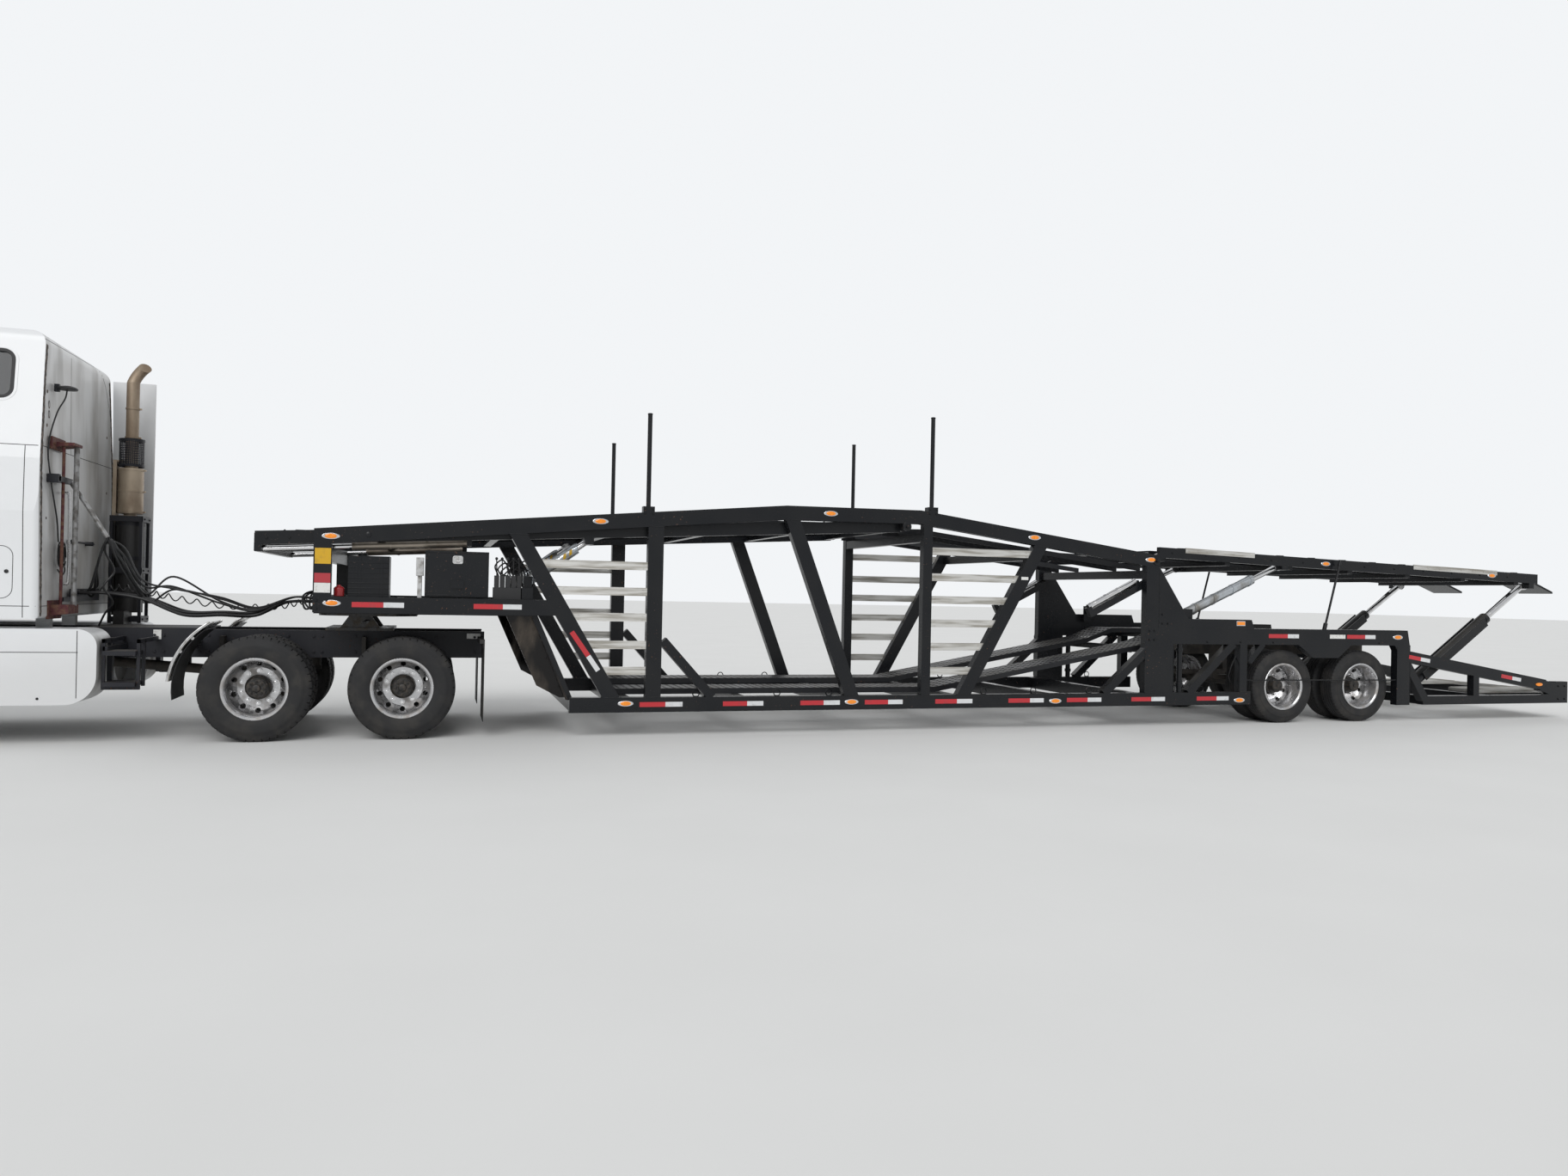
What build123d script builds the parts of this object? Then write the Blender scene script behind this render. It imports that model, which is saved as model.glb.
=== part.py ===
from build123d import *
import math
import os

# Car transporter: a sleeper tractor and the car hauling semi-trailer hinged on its fifth wheel.
# Sizes are in millimetres. X runs from the nose to the tail with its zero at the rear drive
# axle, Y runs across with the middle at zero, and Z is up from the road.
# The last step moves everything so that X is zero at mid-length.

# Fits and clearances
seat_gap = 0.3          # a seated piece and what carries it
bearing_gap = 0.5       # a spindle in its hub, a pin in its eye
running_gap = 6         # moving pieces beside fixed ones
panel_gap = 5           # doors and lids in their openings

# Stations of the tractor along X
bumper_x = -8050
steer_axle_x = -6850
front_drive_x = -1321
rear_drive_x = 0
fifth_wheel_x = -450
frame_front_x = -7880
frame_rear_x = 800
sleeper_rear_x = -3110

# Tractor frame
rail_outer_y = 430
rail_bottom_z = 760
rail_top_z = 1040
rail_flange = 90
rail_wall = 10

# Tyres: outside diameter and width
steer_tyre = (1010, 285)
drive_tyre = (1010, 275)
trailer_tyre = (930, 255)
bead_r = 285
flange_r = 298
bead_play = 4.5         # from a tyre's bead to the flange beside it
steer_tyre_y = 1040
drive_tyre_y = (1085, 740)
trailer_tyre_y = (1115, 800)
spindle_r = 45
hub_r = 135

# Tractor body
cab_half_width = 1200
cab_floor_z = 1150
cab_roof_z = 3800
cab_wall = 55
cab_cowl_x = -6330
hood_half_width = 1170
hood_wall = 40
hood_front_z = 780
fairing_z = (370, 1060)
fairing_x = (-5700, -2640)
door_x = (-6130, -5180)
door_z = (1190, 2700)
door_reach = (960, 1400)

# Coupling
coupling_z = 1232       # underside of the trailer's coupler plate
kingpin_r = 25.4
plate_thickness = 40

# Trailer frames
trailer_half_width = 1295
frame_thickness = 100
upper_line = ((-823, 2048), (3910, 2474), (5500, 2490), (8690, 2075))
upper_depth = 155
gooseneck_z = (1243, 1400)
lower_rail_z = (250, 405)
lower_rail_x = (1620, 10060)
box_rail_z = (1000, 1200)
box_rail_x = (8600, 12570)
trailer_axle_x = (10620, 11860)
tail_slope = ((12620, 850), (15046, 465))
tail_beam_z = (215, 330)
tail_x = 15560          # the end of the deck's flaps

# Decks
deck_half_width = trailer_half_width - frame_thickness - 15
runway_y = (430, deck_half_width - 240)
runway_depth = 60
front_deck_x = (-1354, 5300)
front_deck_top_z = (2010, 2370)
front_hinge = (front_deck_x[1] + 30, front_deck_top_z[1] - 70)
rear_deck_pivot = (8640, 2010)
rear_deck_start = (8766, 2186)
rear_deck_end = (15011, 2006)
arm_y = deck_half_width - 150                   # middle of the lift cylinders and arms
front_lift = ((1199, 1590), (1805, 2030))       # foot and head of the front cylinders
rear_arm = ((12930, 480), (14898, 1850))        # foot and head of the rear arms
mid_arm = ((9249, 1369), (10661, 2000))         # foot and head of the middle arms


def slab(outline, y_from, y_to):
    """A plate with its outline in X and Z, from one Y to another."""
    face = make_face(Polyline(*[(x, y_from, z) for x, z in outline], close=True))
    return extrude(face, amount=y_to - y_from, dir=(0, 1, 0))


def block(x_from, x_to, y_from, y_to, z_from, z_to):
    """A rectangular piece given by its six faces."""
    size = (abs(x_to - x_from), abs(y_to - y_from), abs(z_to - z_from))
    middle = ((x_from + x_to) / 2, (y_from + y_to) / 2, (z_from + z_to) / 2)
    return Pos(*middle) * Box(*size)


def bar(start, end, y_from, y_to, depth):
    """A straight bar seen from the side, with start and end in X and Z."""
    dx, dz = end[0] - start[0], end[1] - start[1]
    length = math.hypot(dx, dz)
    nx, nz = -dz / length * depth / 2, dx / length * depth / 2
    outline = [(start[0] + nx, start[1] + nz), (end[0] + nx, end[1] + nz),
               (end[0] - nx, end[1] - nz), (start[0] - nx, start[1] - nz)]
    return slab(outline, y_from, y_to)


def rod(start, end, radius):
    """A round bar from one point to another."""
    along = Vector(*end) - Vector(*start)
    plane = Plane(origin=start, z_dir=along)
    return extrude(plane * Circle(radius), amount=along.length)


def pipe(start, end, radius, bore):
    """A round tube from one point to another."""
    return rod(start, end, radius) - rod(start, end, bore)


def across(x, z, radius, y_from, y_to):
    """A round bar that runs across the truck."""
    return rod((x, y_from, z), (x, y_to, z), radius)


def both_sides(shape):
    """The shape and its mirror image on the other side of the truck."""
    return shape + mirror(shape, about=Plane.XZ)


def turned(profile, x, z):
    """A ring turned about a line across the truck, its profile as radius and Y."""
    face = make_face(Polyline(*[(x + r, y, z) for r, y in profile], close=True))
    return revolve(face, Axis((x, 0, z), (0, 1, 0)), 360)


def group(*shapes):
    """Solids that share a node without touching."""
    return Compound(children=[solid for shape in shapes for solid in shape.solids()])


def stations(first, last, pitch):
    """Places from first, pitch apart, that stay short of last."""
    return [first + pitch * i for i in range(math.ceil((last - first) / pitch))]


nodes = {}


# Tyres and wheels

def tyre(x, size, y):
    """A plain tyre ring, its tread flat and its shoulders bevelled."""
    radius, half = size[0] / 2, size[1] / 2
    profile = [(bead_r, y - half + 30), ((bead_r + radius) / 2, y - half), (radius - 22, y - half + 16),
               (radius, y - half + 38), (radius, y + half - 38), (radius - 22, y + half - 16),
               ((bead_r + radius) / 2, y + half), (bead_r, y + half - 30)]
    return turned(profile, x, radius)


def rim(x, z, y, side, mount_y, width):
    """A rim with its dished disc; side is the way from the tyre to the mounting face."""
    lip = width / 2 - 30 + bead_play
    edge = lip + 11
    profile = [(bead_r - seat_gap, -lip), (flange_r, -lip), (flange_r, -edge), (bead_r - 16, -edge),
               (bead_r - 16, lip - 22), (180, mount_y - 18), (hub_r - 10, mount_y - 18),
               (hub_r - 10, mount_y), (175, mount_y), (bead_r - 25, edge), (flange_r, edge),
               (flange_r, lip), (bead_r - seat_gap, lip)]
    return turned([(r, y + side * offset) for r, offset in profile], x, z)


mount_offset = 172      # from a tyre's middle to its mounting face


def hub(x, z, side, inner_y, mount_y, cap_y):
    """The hub that fills the discs' middle, bored for its spindle and closed outside."""
    bore = spindle_r + bearing_gap
    profile = [(bore, inner_y), (hub_r + 30, inner_y), (hub_r + 30, mount_y - 60), (hub_r, mount_y - 20),
               (hub_r, mount_y + 40), (85, cap_y), (0, cap_y), (0, cap_y - 30), (bore, cap_y - 30)]
    return turned([(r, side * y) for r, y in profile], x, z)


def dual_wheel(x, size, tyre_y, side):
    """Two rims back to back on one hub."""
    z = size[0] / 2
    mount_y = sum(tyre_y) / 2
    reach = mount_y - tyre_y[1]
    outer = rim(x, z, side * tyre_y[0], -side, reach, size[1])
    inner = rim(x, z, side * tyre_y[1], side, reach, size[1])
    return outer + inner + hub(x, z, side, hub_inner_y, mount_y, mount_y + 175)


hub_inner_y = 655
sides = (("left", -1), ("right", 1))

for name, side in sides:
    z = steer_tyre[0] / 2
    nodes["steer_tyre_" + name] = tyre(steer_axle_x, steer_tyre, side * steer_tyre_y)
    mount_y = steer_tyre_y + mount_offset
    nodes["steer_wheel_" + name] = (
        rim(steer_axle_x, z, side * steer_tyre_y, side, mount_offset, steer_tyre[1])
        + hub(steer_axle_x, z, side, steer_tyre_y - 65, mount_y, mount_y + 70))

dual_table = (          # name, axle X, tyre, tyre Ys
    ("front_drive", front_drive_x, drive_tyre, drive_tyre_y),
    ("rear_drive", rear_drive_x, drive_tyre, drive_tyre_y),
    ("front_trailer", trailer_axle_x[0], trailer_tyre, trailer_tyre_y),
    ("rear_trailer", trailer_axle_x[1], trailer_tyre, trailer_tyre_y),
)
for axle, x, size, tyre_y in dual_table:
    for name, side in sides:
        pair = [tyre(x, size, side * y) for y in tyre_y]
        nodes[f"{axle}_tyres_{name}"] = group(*pair)
        nodes[f"{axle}_wheels_{name}"] = dual_wheel(x, size, tyre_y, side)


# Axles that the wheels turn on

def spindle_tip(tyre_y):
    """How far out a dual hub's spindle reaches."""
    return sum(tyre_y) / 2 + 175 - 30 - bearing_gap


drive_z = drive_tyre[0] / 2
drive_housings = []
for x in (front_drive_x, rear_drive_x):
    tip = spindle_tip(drive_tyre_y)
    housing = across(x, drive_z, spindle_r, -tip, tip) + across(x, drive_z, 75, -600, 600)
    housing += across(x, drive_z, 210, -150, 150)
    housing += rod((x, 0, drive_z), (x - 330, 0, drive_z + 80), 110)
    for side in (-1, 1):
        housing += block(x - 60, x + 60, side * 470, side * 570, drive_z - 90, drive_z + 90)
        housing += block(x - 420, x + 420, side * 490, side * 560, drive_z + 70, drive_z + 120)
        housing += rod((x + 330, side * 495, drive_z + 110),
                       (x + 330, side * 495, rail_bottom_z - seat_gap), 90)
        housing += block(x - 420, x - 380, side * (rail_outer_y + seat_gap), side * 560,
                         drive_z + 70, rail_top_z - 60)
    drive_housings.append(housing)
shaft_start, shaft_end = -4000 + 60, front_drive_x - 330 - 8
shaft = rod((shaft_start, 0, 790), (shaft_end, 0, drive_z + 82), 50)
nodes["drive_axles"] = group(*drive_housings, shaft)

steer_z = steer_tyre[0] / 2
steer_pin_y = 850
steer_axle = block(steer_axle_x - 55, steer_axle_x + 55, -steer_pin_y + 60, steer_pin_y - 60,
                   steer_z - 120, steer_z - 20)
for side in (-1, 1):
    eye = rod((steer_axle_x, side * steer_pin_y, steer_z - 120),
              (steer_axle_x, side * steer_pin_y, steer_z + 60), 60)
    steer_axle += eye + block(steer_axle_x - 50, steer_axle_x + 50, side * 740, side * steer_pin_y,
                              steer_z - 120, steer_z + 60)
    steer_axle += block(steer_axle_x - 750, steer_axle_x + 750, side * 470, side * 550,
                        steer_z - 20, steer_z + 40)
    for end in (-750, 750):
        steer_axle += block(steer_axle_x + end - 40, steer_axle_x + end + 40,
                            side * (rail_outer_y + seat_gap), side * 550, steer_z - 20, rail_bottom_z + 100)
nodes["steer_axle"] = steer_axle

for name, side in sides:
    pin = (steer_axle_x, side * steer_pin_y)
    top, bottom = steer_z + 60 + seat_gap, steer_z - 120 - seat_gap
    knuckle = rod((*pin, top), (*pin, top + 30), 60) + rod((*pin, bottom), (*pin, bottom - 30), 60)
    near, far = steer_pin_y + 60 + running_gap, steer_pin_y + 100
    knuckle += block(pin[0] - 60, pin[0] + 60, side * near, side * far, bottom - 30, top + 30)
    for low, high in ((top, top + 30), (bottom - 30, bottom)):
        knuckle += block(pin[0] - 50, pin[0] + 50, side * steer_pin_y, side * far, low, high)
    knuckle += across(pin[0], steer_z, spindle_r, side * near,
                      side * (steer_tyre_y + mount_offset + 70 - 30 - bearing_gap))
    nodes["knuckle_" + name] = knuckle


# Tractor frame

def channel(y_outer, side, x_from, x_to):
    """A frame rail, its open side towards the middle."""
    outer, inner = side * y_outer, side * (y_outer - rail_flange)
    full = block(x_from, x_to, inner, outer, rail_bottom_z, rail_top_z)
    hollow = block(x_from, x_to, inner, side * (y_outer - rail_wall),
                   rail_bottom_z + rail_wall, rail_top_z - rail_wall)
    return full - hollow


frame = channel(rail_outer_y, -1, frame_front_x, frame_rear_x)
frame += channel(rail_outer_y, 1, frame_front_x, frame_rear_x)
for x in (-7700, -5150, -4000, -2300, front_drive_x + 150, rear_drive_x + 350, frame_rear_x - 60):
    frame += block(x - 45, x + 45, -rail_outer_y + rail_wall, rail_outer_y - rail_wall,
                   rail_bottom_z + 40, rail_top_z - 40)
# The deck plate behind the sleeper, and the two steps behind each side fairing
frame += block(-2950, -1900, -rail_outer_y, rail_outer_y, rail_top_z, rail_top_z + 12)
for side in (-1, 1):
    frame += block(-2610, -2570, side * rail_outer_y, side * 1120, 830, 900)
    frame += block(-2600, -2570, side * 900, side * 960, 520, 850)
    for step_z in (860, 572):
        frame += block(-2600, -2330, side * 880, side * 1180, step_z - 40, step_z)
# The drive shafts between the gearbox, the centre bearing and the axles
frame += rod((-5330, 0, 800), (-4000, 0, 790), 50)
nodes["tractor_frame"] = frame

engine = block(-7560, -6400, -320, 320, 700, 1520) + block(-6400, -5350, -230, 230, 700, 1120)
mount_y = rail_outer_y - rail_flange - seat_gap
for x in (-7200, -5700):
    engine += block(x - 50, x + 50, -mount_y, mount_y, rail_top_z - 40, rail_top_z)
nodes["engine_block"] = engine


# Front bumper, with its fog lamp recesses and towing eyes
bumper_outline = ((bumper_x, -760), (bumper_x + 330, -1200), (bumper_x + 560, -1200),
                  (bumper_x + 560, 1200), (bumper_x + 330, 1200), (bumper_x, 760))
bumper_z = (340, hood_front_z - 60)


def bumper_form(inset, low, high):
    """The bumper's plan carried up from low to high, drawn in by inset."""
    plan = make_face(FilletPolyline(*[(x, y, low) for x, y in bumper_outline],
                                    radius=[260, 200, 0, 0, 200, 260], close=True))
    if inset:
        plan = offset(plan, amount=-inset, kind=Kind.INTERSECTION)
    return extrude(plan, amount=high - low, dir=(0, 0, 1))


bumper = bumper_form(0, *bumper_z) - bumper_form(60, bumper_z[0] - 1, bumper_z[1] + 1)
bumper -= block(bumper_x + 470, bumper_x + 700, -1140, 1140, 300, 800)
bumper -= block(bumper_x - 10, bumper_x + 100, -330, 330, 400, 520)
for side in (-1, 1):
    bumper += block(bumper_x + 40, frame_front_x + 20, side * 340, side * rail_outer_y, 560, bumper_z[1])
    bumper += block(frame_front_x - 40, frame_front_x + 200, side * 340, side * (rail_outer_y - rail_wall),
                    560, rail_bottom_z - seat_gap)
# The lugs and pins that the hood tilts on
hood_hinge = (bumper_x + 85, hood_front_z - 10)     # X and Z of the hood's tilt pins
hood_lug_y = (535, 560)
hood_eye_y = (560 + bearing_gap, 588)
hood_pin_r = 10
for side in (-1, 1):
    y = [side * value for value in hood_lug_y]
    bumper += bar((bumper_x + 30, bumper_z[1] - 30), hood_hinge, *y, 36) + across(*hood_hinge, 18, *y)
    bumper += across(*hood_hinge, hood_pin_r, side * hood_lug_y[0], side * hood_eye_y[1])
tow_pin_r = 20
for side in (-1, 1):
    y = (side * 250, side * 280)
    bumper += block(bumper_x + 45, -7860, *y, 420, 500)
    bumper += block(-7900, -7860, side * 250, side * 430, 420, 600)
    bumper += across(bumper_x + 45, 460, 40, *y)
    bumper -= across(bumper_x + 45, 460, tow_pin_r, side * 240, side * 290)
nodes["front_bumper"] = bumper


# The cab's and the hood's forms are what three outlines share: from the side, above and ahead

def shared_form(side_view, plan_view, front_view, inset):
    """The closed form inside all three outlines, each a list of point and corner radius."""
    faces = []
    for view, place in ((side_view, lambda a, b: (a, 0, b)), (plan_view, lambda a, b: (a, b, 0)),
                        (front_view, lambda a, b: (0, a, b))):
        wire = FilletPolyline(*[place(a, b) for a, b, _ in view], radius=[r for _, _, r in view],
                              close=True)
        face = make_face(wire)
        if inset:
            face = offset(face, amount=-inset, kind=Kind.INTERSECTION)
        faces.append(face)
    reach = 9000
    a = extrude(faces[0], amount=reach, dir=(0, 1, 0), both=True)
    b = extrude(faces[1], amount=reach, dir=(0, 0, 1), both=True)
    c = extrude(faces[2], amount=reach, dir=(1, 0, 0), both=True)
    return a & b & c


rear_top = sleeper_rear_x - 40
screen_foot, screen_head = (cab_cowl_x, 1880), (-5560, 2860)
cab_side = (            # X, Z, corner radius
    (sleeper_rear_x, cab_floor_z, 30), (rear_top, cab_roof_z - 10, 130), (-4650, cab_roof_z, 900),
    (*screen_head, 120), (*screen_foot, 0), (cab_cowl_x, cab_floor_z, 0))
cab_plan = (            # X, Y, corner radius
    (sleeper_rear_x + 15, -cab_half_width, 75), (-5500, -cab_half_width, 900),
    (cab_cowl_x - 60, -1010, 0), (cab_cowl_x - 60, 1010, 0),
    (-5500, cab_half_width, 900), (sleeper_rear_x + 15, cab_half_width, 75))
cab_front = (           # Y, Z, corner radius; the plan bounds the sides below the waist
    (-cab_half_width - 30, cab_floor_z - 10, 0), (-cab_half_width - 5, 2050, 0), (-1165, 2600, 0),
    (-1010, cab_roof_z + 20, 160), (1010, cab_roof_z + 20, 160), (1165, 2600, 0),
    (cab_half_width + 5, 2050, 0), (cab_half_width + 30, cab_floor_z - 10, 0))


def sleeper_back(z):
    """X of the sleeper's leaning rear face at height z."""
    return sleeper_rear_x + (rear_top - sleeper_rear_x) * (z - cab_floor_z) / (cab_roof_z - 10 - cab_floor_z)


def cab_form(inset):
    """The cab and sleeper as one closed form."""
    return shared_form(cab_side, cab_plan, cab_front, inset)


def outline_prism(points, y_from, y_to, grow=0):
    """A side outline with round corners, carried across; points are X, Z and radius."""
    face = make_face(FilletPolyline(*[(x, y_from, z) for x, z, _ in points],
                                    radius=[r for _, _, r in points], close=True))
    if grow:
        face = offset(face, amount=grow, kind=Kind.INTERSECTION)
    return extrude(face, amount=y_to - y_from, dir=(0, 1, 0))


door_hinge = (door_x[0] - 2, 1083)          # X and Y of the doors' hinge pins
cab_outer = cab_form(0)
cab_shell_wall = cab_outer - cab_form(cab_wall)
door_outline = (        # X, Z, corner radius
    (door_x[0], door_z[0], 60), (door_x[1], door_z[0], 60), (door_x[1], door_z[1], 90),
    (door_x[0] + 580, door_z[1], 90), (door_x[0], 2050, 60))
door_window = (
    (door_x[0] + 90, 1900, 40), (door_x[1] - 90, 1900, 60), (door_x[1] - 90, door_z[1] - 80, 80),
    (door_x[0] + 600, door_z[1] - 80, 60), (door_x[0] + 90, 2060, 40))
sleeper_window = (
    (-3760, 3160, 70), (-3400, 3160, 70), (-3400, 3560, 70), (-3760, 3560, 70))
lower_sleeper_window = (
    (-4750, 2150, 60), (-4350, 2150, 60), (-4350, 2560, 60), (-4750, 2560, 60))

cab = cab_shell_wall
for side in (-1, 1):
    reach = (side * door_reach[0], side * door_reach[1])
    cab -= outline_prism(door_outline, *reach)
    cab -= outline_prism(sleeper_window, *reach)
    cab -= outline_prism(lower_sleeper_window, *reach)
windscreen_cut = block(cab_cowl_x, -5400, -930, 930, screen_foot[1] + 110, screen_head[1] - 120)
screen_slope = slab((screen_foot, (screen_foot[0] + 150, screen_foot[1]),
                     (screen_head[0] + 150, screen_head[1]), screen_head), -1200, 1200)
cab -= windscreen_cut & screen_slope
# The supports that hold the cab on the frame
for x in (-5900, -4600, -3300):
    for side in (-1, 1):
        cab += block(x - 60, x + 60, side * 340, side * 420, rail_top_z + seat_gap, cab_floor_z + 30)
nodes["cab_shell"] = cab

glass_skin = cab_form(15) - cab_form(27)
glass = [(windscreen_cut & screen_slope & glass_skin)]
for side in (-1, 1):
    reach = (side * door_reach[0], side * door_reach[1])
    for window in (sleeper_window, lower_sleeper_window):
        glass.append(outline_prism(window, *reach, grow=-seat_gap) & glass_skin)
nodes["cab_glass"] = group(*glass)

for name, side in sides:
    reach = (side * door_reach[0], side * door_reach[1])
    door = outline_prism(door_outline, *reach, grow=-panel_gap) & cab_shell_wall
    opening = outline_prism(door_window, *reach)
    door -= opening
    # The handle, and the mirror with its two arms
    handle_y = side * (cab_half_width + 2)
    door += block(door_x[1] - 210, door_x[1] - 60, handle_y - 14 * side, handle_y + 28 * side, 1680, 1730)
    mirror_x = door_x[0] + 150
    door += block(mirror_x - 25, mirror_x + 25, side * 1040, side * 1300, 1820, 1860)
    door += block(-5725, -5685, side * 1080, side * 1300, 2450, 2480)
    door += block(mirror_x - 20, -5685, side * 1270, side * 1300, 2450, 2480)
    door += outline_prism(((mirror_x - 60, 1850, 50), (mirror_x + 60, 1850, 50), (mirror_x + 60, 2520, 50),
                           (mirror_x - 60, 2520, 50)), side * 1250, side * 1450)
    nodes["door_" + name] = door
    nodes["door_glass_" + name] = outline_prism(door_window, *reach, grow=-seat_gap) & glass_skin


# Cab interior: floor pad, dash, steering wheel, seats and bunk on one floor
inner_floor = cab_floor_z + cab_wall + seat_gap
interior = block(-6250, -3200, -900, 900, inner_floor, inner_floor + 25)
interior += slab(((-6250, inner_floor), (-5830, inner_floor), (-5800, 1830), (-6250, 1840)), -850, 850)
for side in (-1, 1):
    interior += block(-5450, -4950, side * 260, side * 780, inner_floor, 1620)
    interior += slab(((-5060, 1600), (-4920, 1600), (-4780, 2340), (-4900, 2340)), side * 260, side * 780)
interior += block(-4100, -3200, -950, 950, inner_floor, 1720)
interior += rod((-5850, -520, 1820), (-5640, -520, 1960), 30)
interior += rod((-5660, -520, 1945), (-5620, -520, 1972), 225)
nodes["cab_interior"] = interior


# Hood with its fenders, grille and lamp recesses
hood_side = (
    (cab_cowl_x - 20, 560, 0), (cab_cowl_x - 20, 1870, 60), (-7700, 1560, 260),
    (-7985, 1150, 500), (-7985, hood_front_z, 0), (-7475, hood_front_z, 0), (-7455, 560, 0))
hood_bulge = hood_half_width + 20       # the plan's sides, just outside the fenders' faces
hood_nose, fender_top, hood_top = hood_half_width - 410, hood_half_width - 350, hood_half_width - 530
hood_plan = (
    (cab_cowl_x + 5, -hood_bulge, 0), (-7450, -hood_bulge, 500), (-7990, -hood_nose, 160),
    (-7990, hood_nose, 160), (-7450, hood_bulge, 500), (cab_cowl_x + 5, hood_bulge, 0))
hood_front = (
    (-hood_half_width, 540, 0), (-hood_half_width, 1120, 160), (-fender_top, 1300, 200),
    (-hood_top, 1700, 160), (80 - hood_top, 1960, 0), (hood_top - 80, 1960, 0), (hood_top, 1700, 160),
    (fender_top, 1300, 200), (hood_half_width, 1120, 160), (hood_half_width, 540, 0))


def hood_form(inset):
    """The hood and its fenders as one closed form."""
    return shared_form(hood_side, hood_plan, hood_front, inset)


hood_outer = hood_form(0)
hood = hood_outer - hood_form(hood_wall)
# The underside and the rear stay open
hood -= block(-8100, cab_cowl_x + 50, -1100, 1100, 500, hood_front_z + 1 + hood_wall)
hood -= block(cab_cowl_x - 65, cab_cowl_x + 50, -1300, 1300, 400, 2000)
arch_r = steer_tyre[0] / 2 + 95
hood -= across(steer_axle_x, steer_z, arch_r, -1400, 1400)
grille_y = 520
hood -= block(-8100, -7700, -grille_y, grille_y, 870, 1440)
for z in stations(880, 1440, 62):
    hood += block(-7975, -7915, -grille_y - 30, grille_y + 30, z, z + 22) & hood_outer
for y in (-grille_y / 2, 0, grille_y / 2):
    hood += block(-7970, -7920, y - 14, y + 14, 830, 1470) & hood_outer
lamp_outline = ((-7950, 900), (-7560, 960), (-7560, 1110), (-7950, 1080))
for side in (-1, 1):
    hood -= slab(lamp_outline, side * 640, side * 1300) & (hood_outer - hood_form(hood_wall + 5))
# The eyes that hang it on the bumper's pins
for side in (-1, 1):
    y = [side * value for value in hood_eye_y]
    hood += block(hood_hinge[0] - 20, hood_hinge[0] + 20, *y, hood_hinge[1], hood_front_z + 80)
    hood += across(*hood_hinge, 20, *y)
    hood -= across(*hood_hinge, hood_pin_r + bearing_gap, side * hood_lug_y[0], side * 600)
nodes["hood_shell"] = hood

lamp_skin = hood_form(8) - hood_form(hood_wall - 6)
lamps = []
for side in (-1, 1):
    lamps.append(slab(lamp_outline, side * 640, side * 1300) & lamp_skin)
nodes["headlamps"] = group(*lamps)


# Side fairings with the tanks behind them, and the far side's extender
fairing_outer = hood_half_width + 20
fairings = []
for side in (-1, 1):
    low, high = fairing_z
    shell = outline_prism(
        ((fairing_x[0], low, 60), (fairing_x[1], low, 260), (fairing_x[1], high, 160),
         (fairing_x[0], high, 0)),
        side * 700, side * fairing_outer)
    inner = outline_prism(
        ((fairing_x[0] + 30, low + 30, 40), (fairing_x[1] - 30, low + 30, 240),
         (fairing_x[1] - 30, high - 30, 140), (fairing_x[0] + 30, high - 30, 0)),
        side * 690, side * (fairing_outer - 30))
    shell -= inner
    for x in (fairing_x[0] + 430, fairing_x[1] - 430):
        shell += block(x - 30, x + 30, side * (rail_outer_y + seat_gap), side * 760, high - 50, high - 10)
    tank = rod((fairing_x[0] + 300, side * 860, 715), (fairing_x[1] - 300, side * 860, 715), 290)
    for x in (fairing_x[0] + 700, fairing_x[1] - 700):
        tank += block(x - 30, x + 30, side * (rail_outer_y + seat_gap), side * 800, 780, 840)
    fairings += [shell, tank]
extender_z = (1260, 3700)
fairings.append(slab([(sleeper_back(extender_z[0]) + seat_gap, extender_z[0]), (-2730, extender_z[0]),
                      (-2730, extender_z[1]), (sleeper_back(extender_z[1]) + seat_gap, extender_z[1])],
                     1130, 1160))
nodes["fairings"] = group(*fairings)


# Exhaust: pipe with a curved tip, two guards and the muffler on its stand
stack_x, stack_y = -2860, 750
stack_path = Polyline((stack_x, stack_y, 2200), (stack_x, stack_y, 3640)) + RadiusArc(
    (stack_x, stack_y, 3640), (stack_x + 110, stack_y, 3810), 160)
stack = sweep(Plane(origin=(stack_x, stack_y, 2200), z_dir=(0, 0, 1)) * Circle(62), path=stack_path)
stack += pipe((stack_x, stack_y, 2230), (stack_x, stack_y, 2715), 120, 108)
for z in (2230, 2700):
    stack += rod((stack_x, stack_y, z), (stack_x, stack_y, z + 15), 110)
stack += rod((stack_x, stack_y, rail_top_z + 130), (stack_x, stack_y, 2205), 135)
stack += block(stack_x - 50, stack_x + 50, 380, 690, rail_top_z + 12 + seat_gap, rail_top_z + 150)
stack += block(stack_x - 160, stack_x - 125, stack_y - 60, stack_y + 60, rail_top_z + 100, 2800)
stack += block(stack_x - 140, stack_x, stack_y - 40, stack_y + 40, 2780, 2800)
stack += block(stack_x - 140, stack_x, stack_y - 40, stack_y + 40, rail_top_z + 130, rail_top_z + 160)
nodes["exhaust_stack"] = stack


# Rack for the service hoses on the sleeper's back
rack = []
rack_y = -700
back = sleeper_rear_x + seat_gap
for z in (1250, 2790):
    rack.append(slab(((back - 10, z), (back + 150, z), (back + 150, z + 30), (back - 10, z + 30)),
                     rack_y - 160, rack_y + 60))
rack_shape = rack[0] + rack[1]
rack_shape -= cab_outer
rack_shape += rod((back + 75, rack_y, 1260), (back + 75, rack_y, 2810), 24)
rack_shape += rod((back + 100, rack_y - 110, 1260), (back + 100, rack_y - 110, 2810), 16)
rack_shape += rod((back + 75, rack_y, 2420), (back + 430, rack_y + 150, 2040), 22)
rack_shape += block(back + 25, back + 60, -420, 420, 1300, 1420)
rack_shape += block(back + 40, back + 60, rack_y, -400, 1300, 1340)
nodes["hose_rack"] = rack_shape


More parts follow.
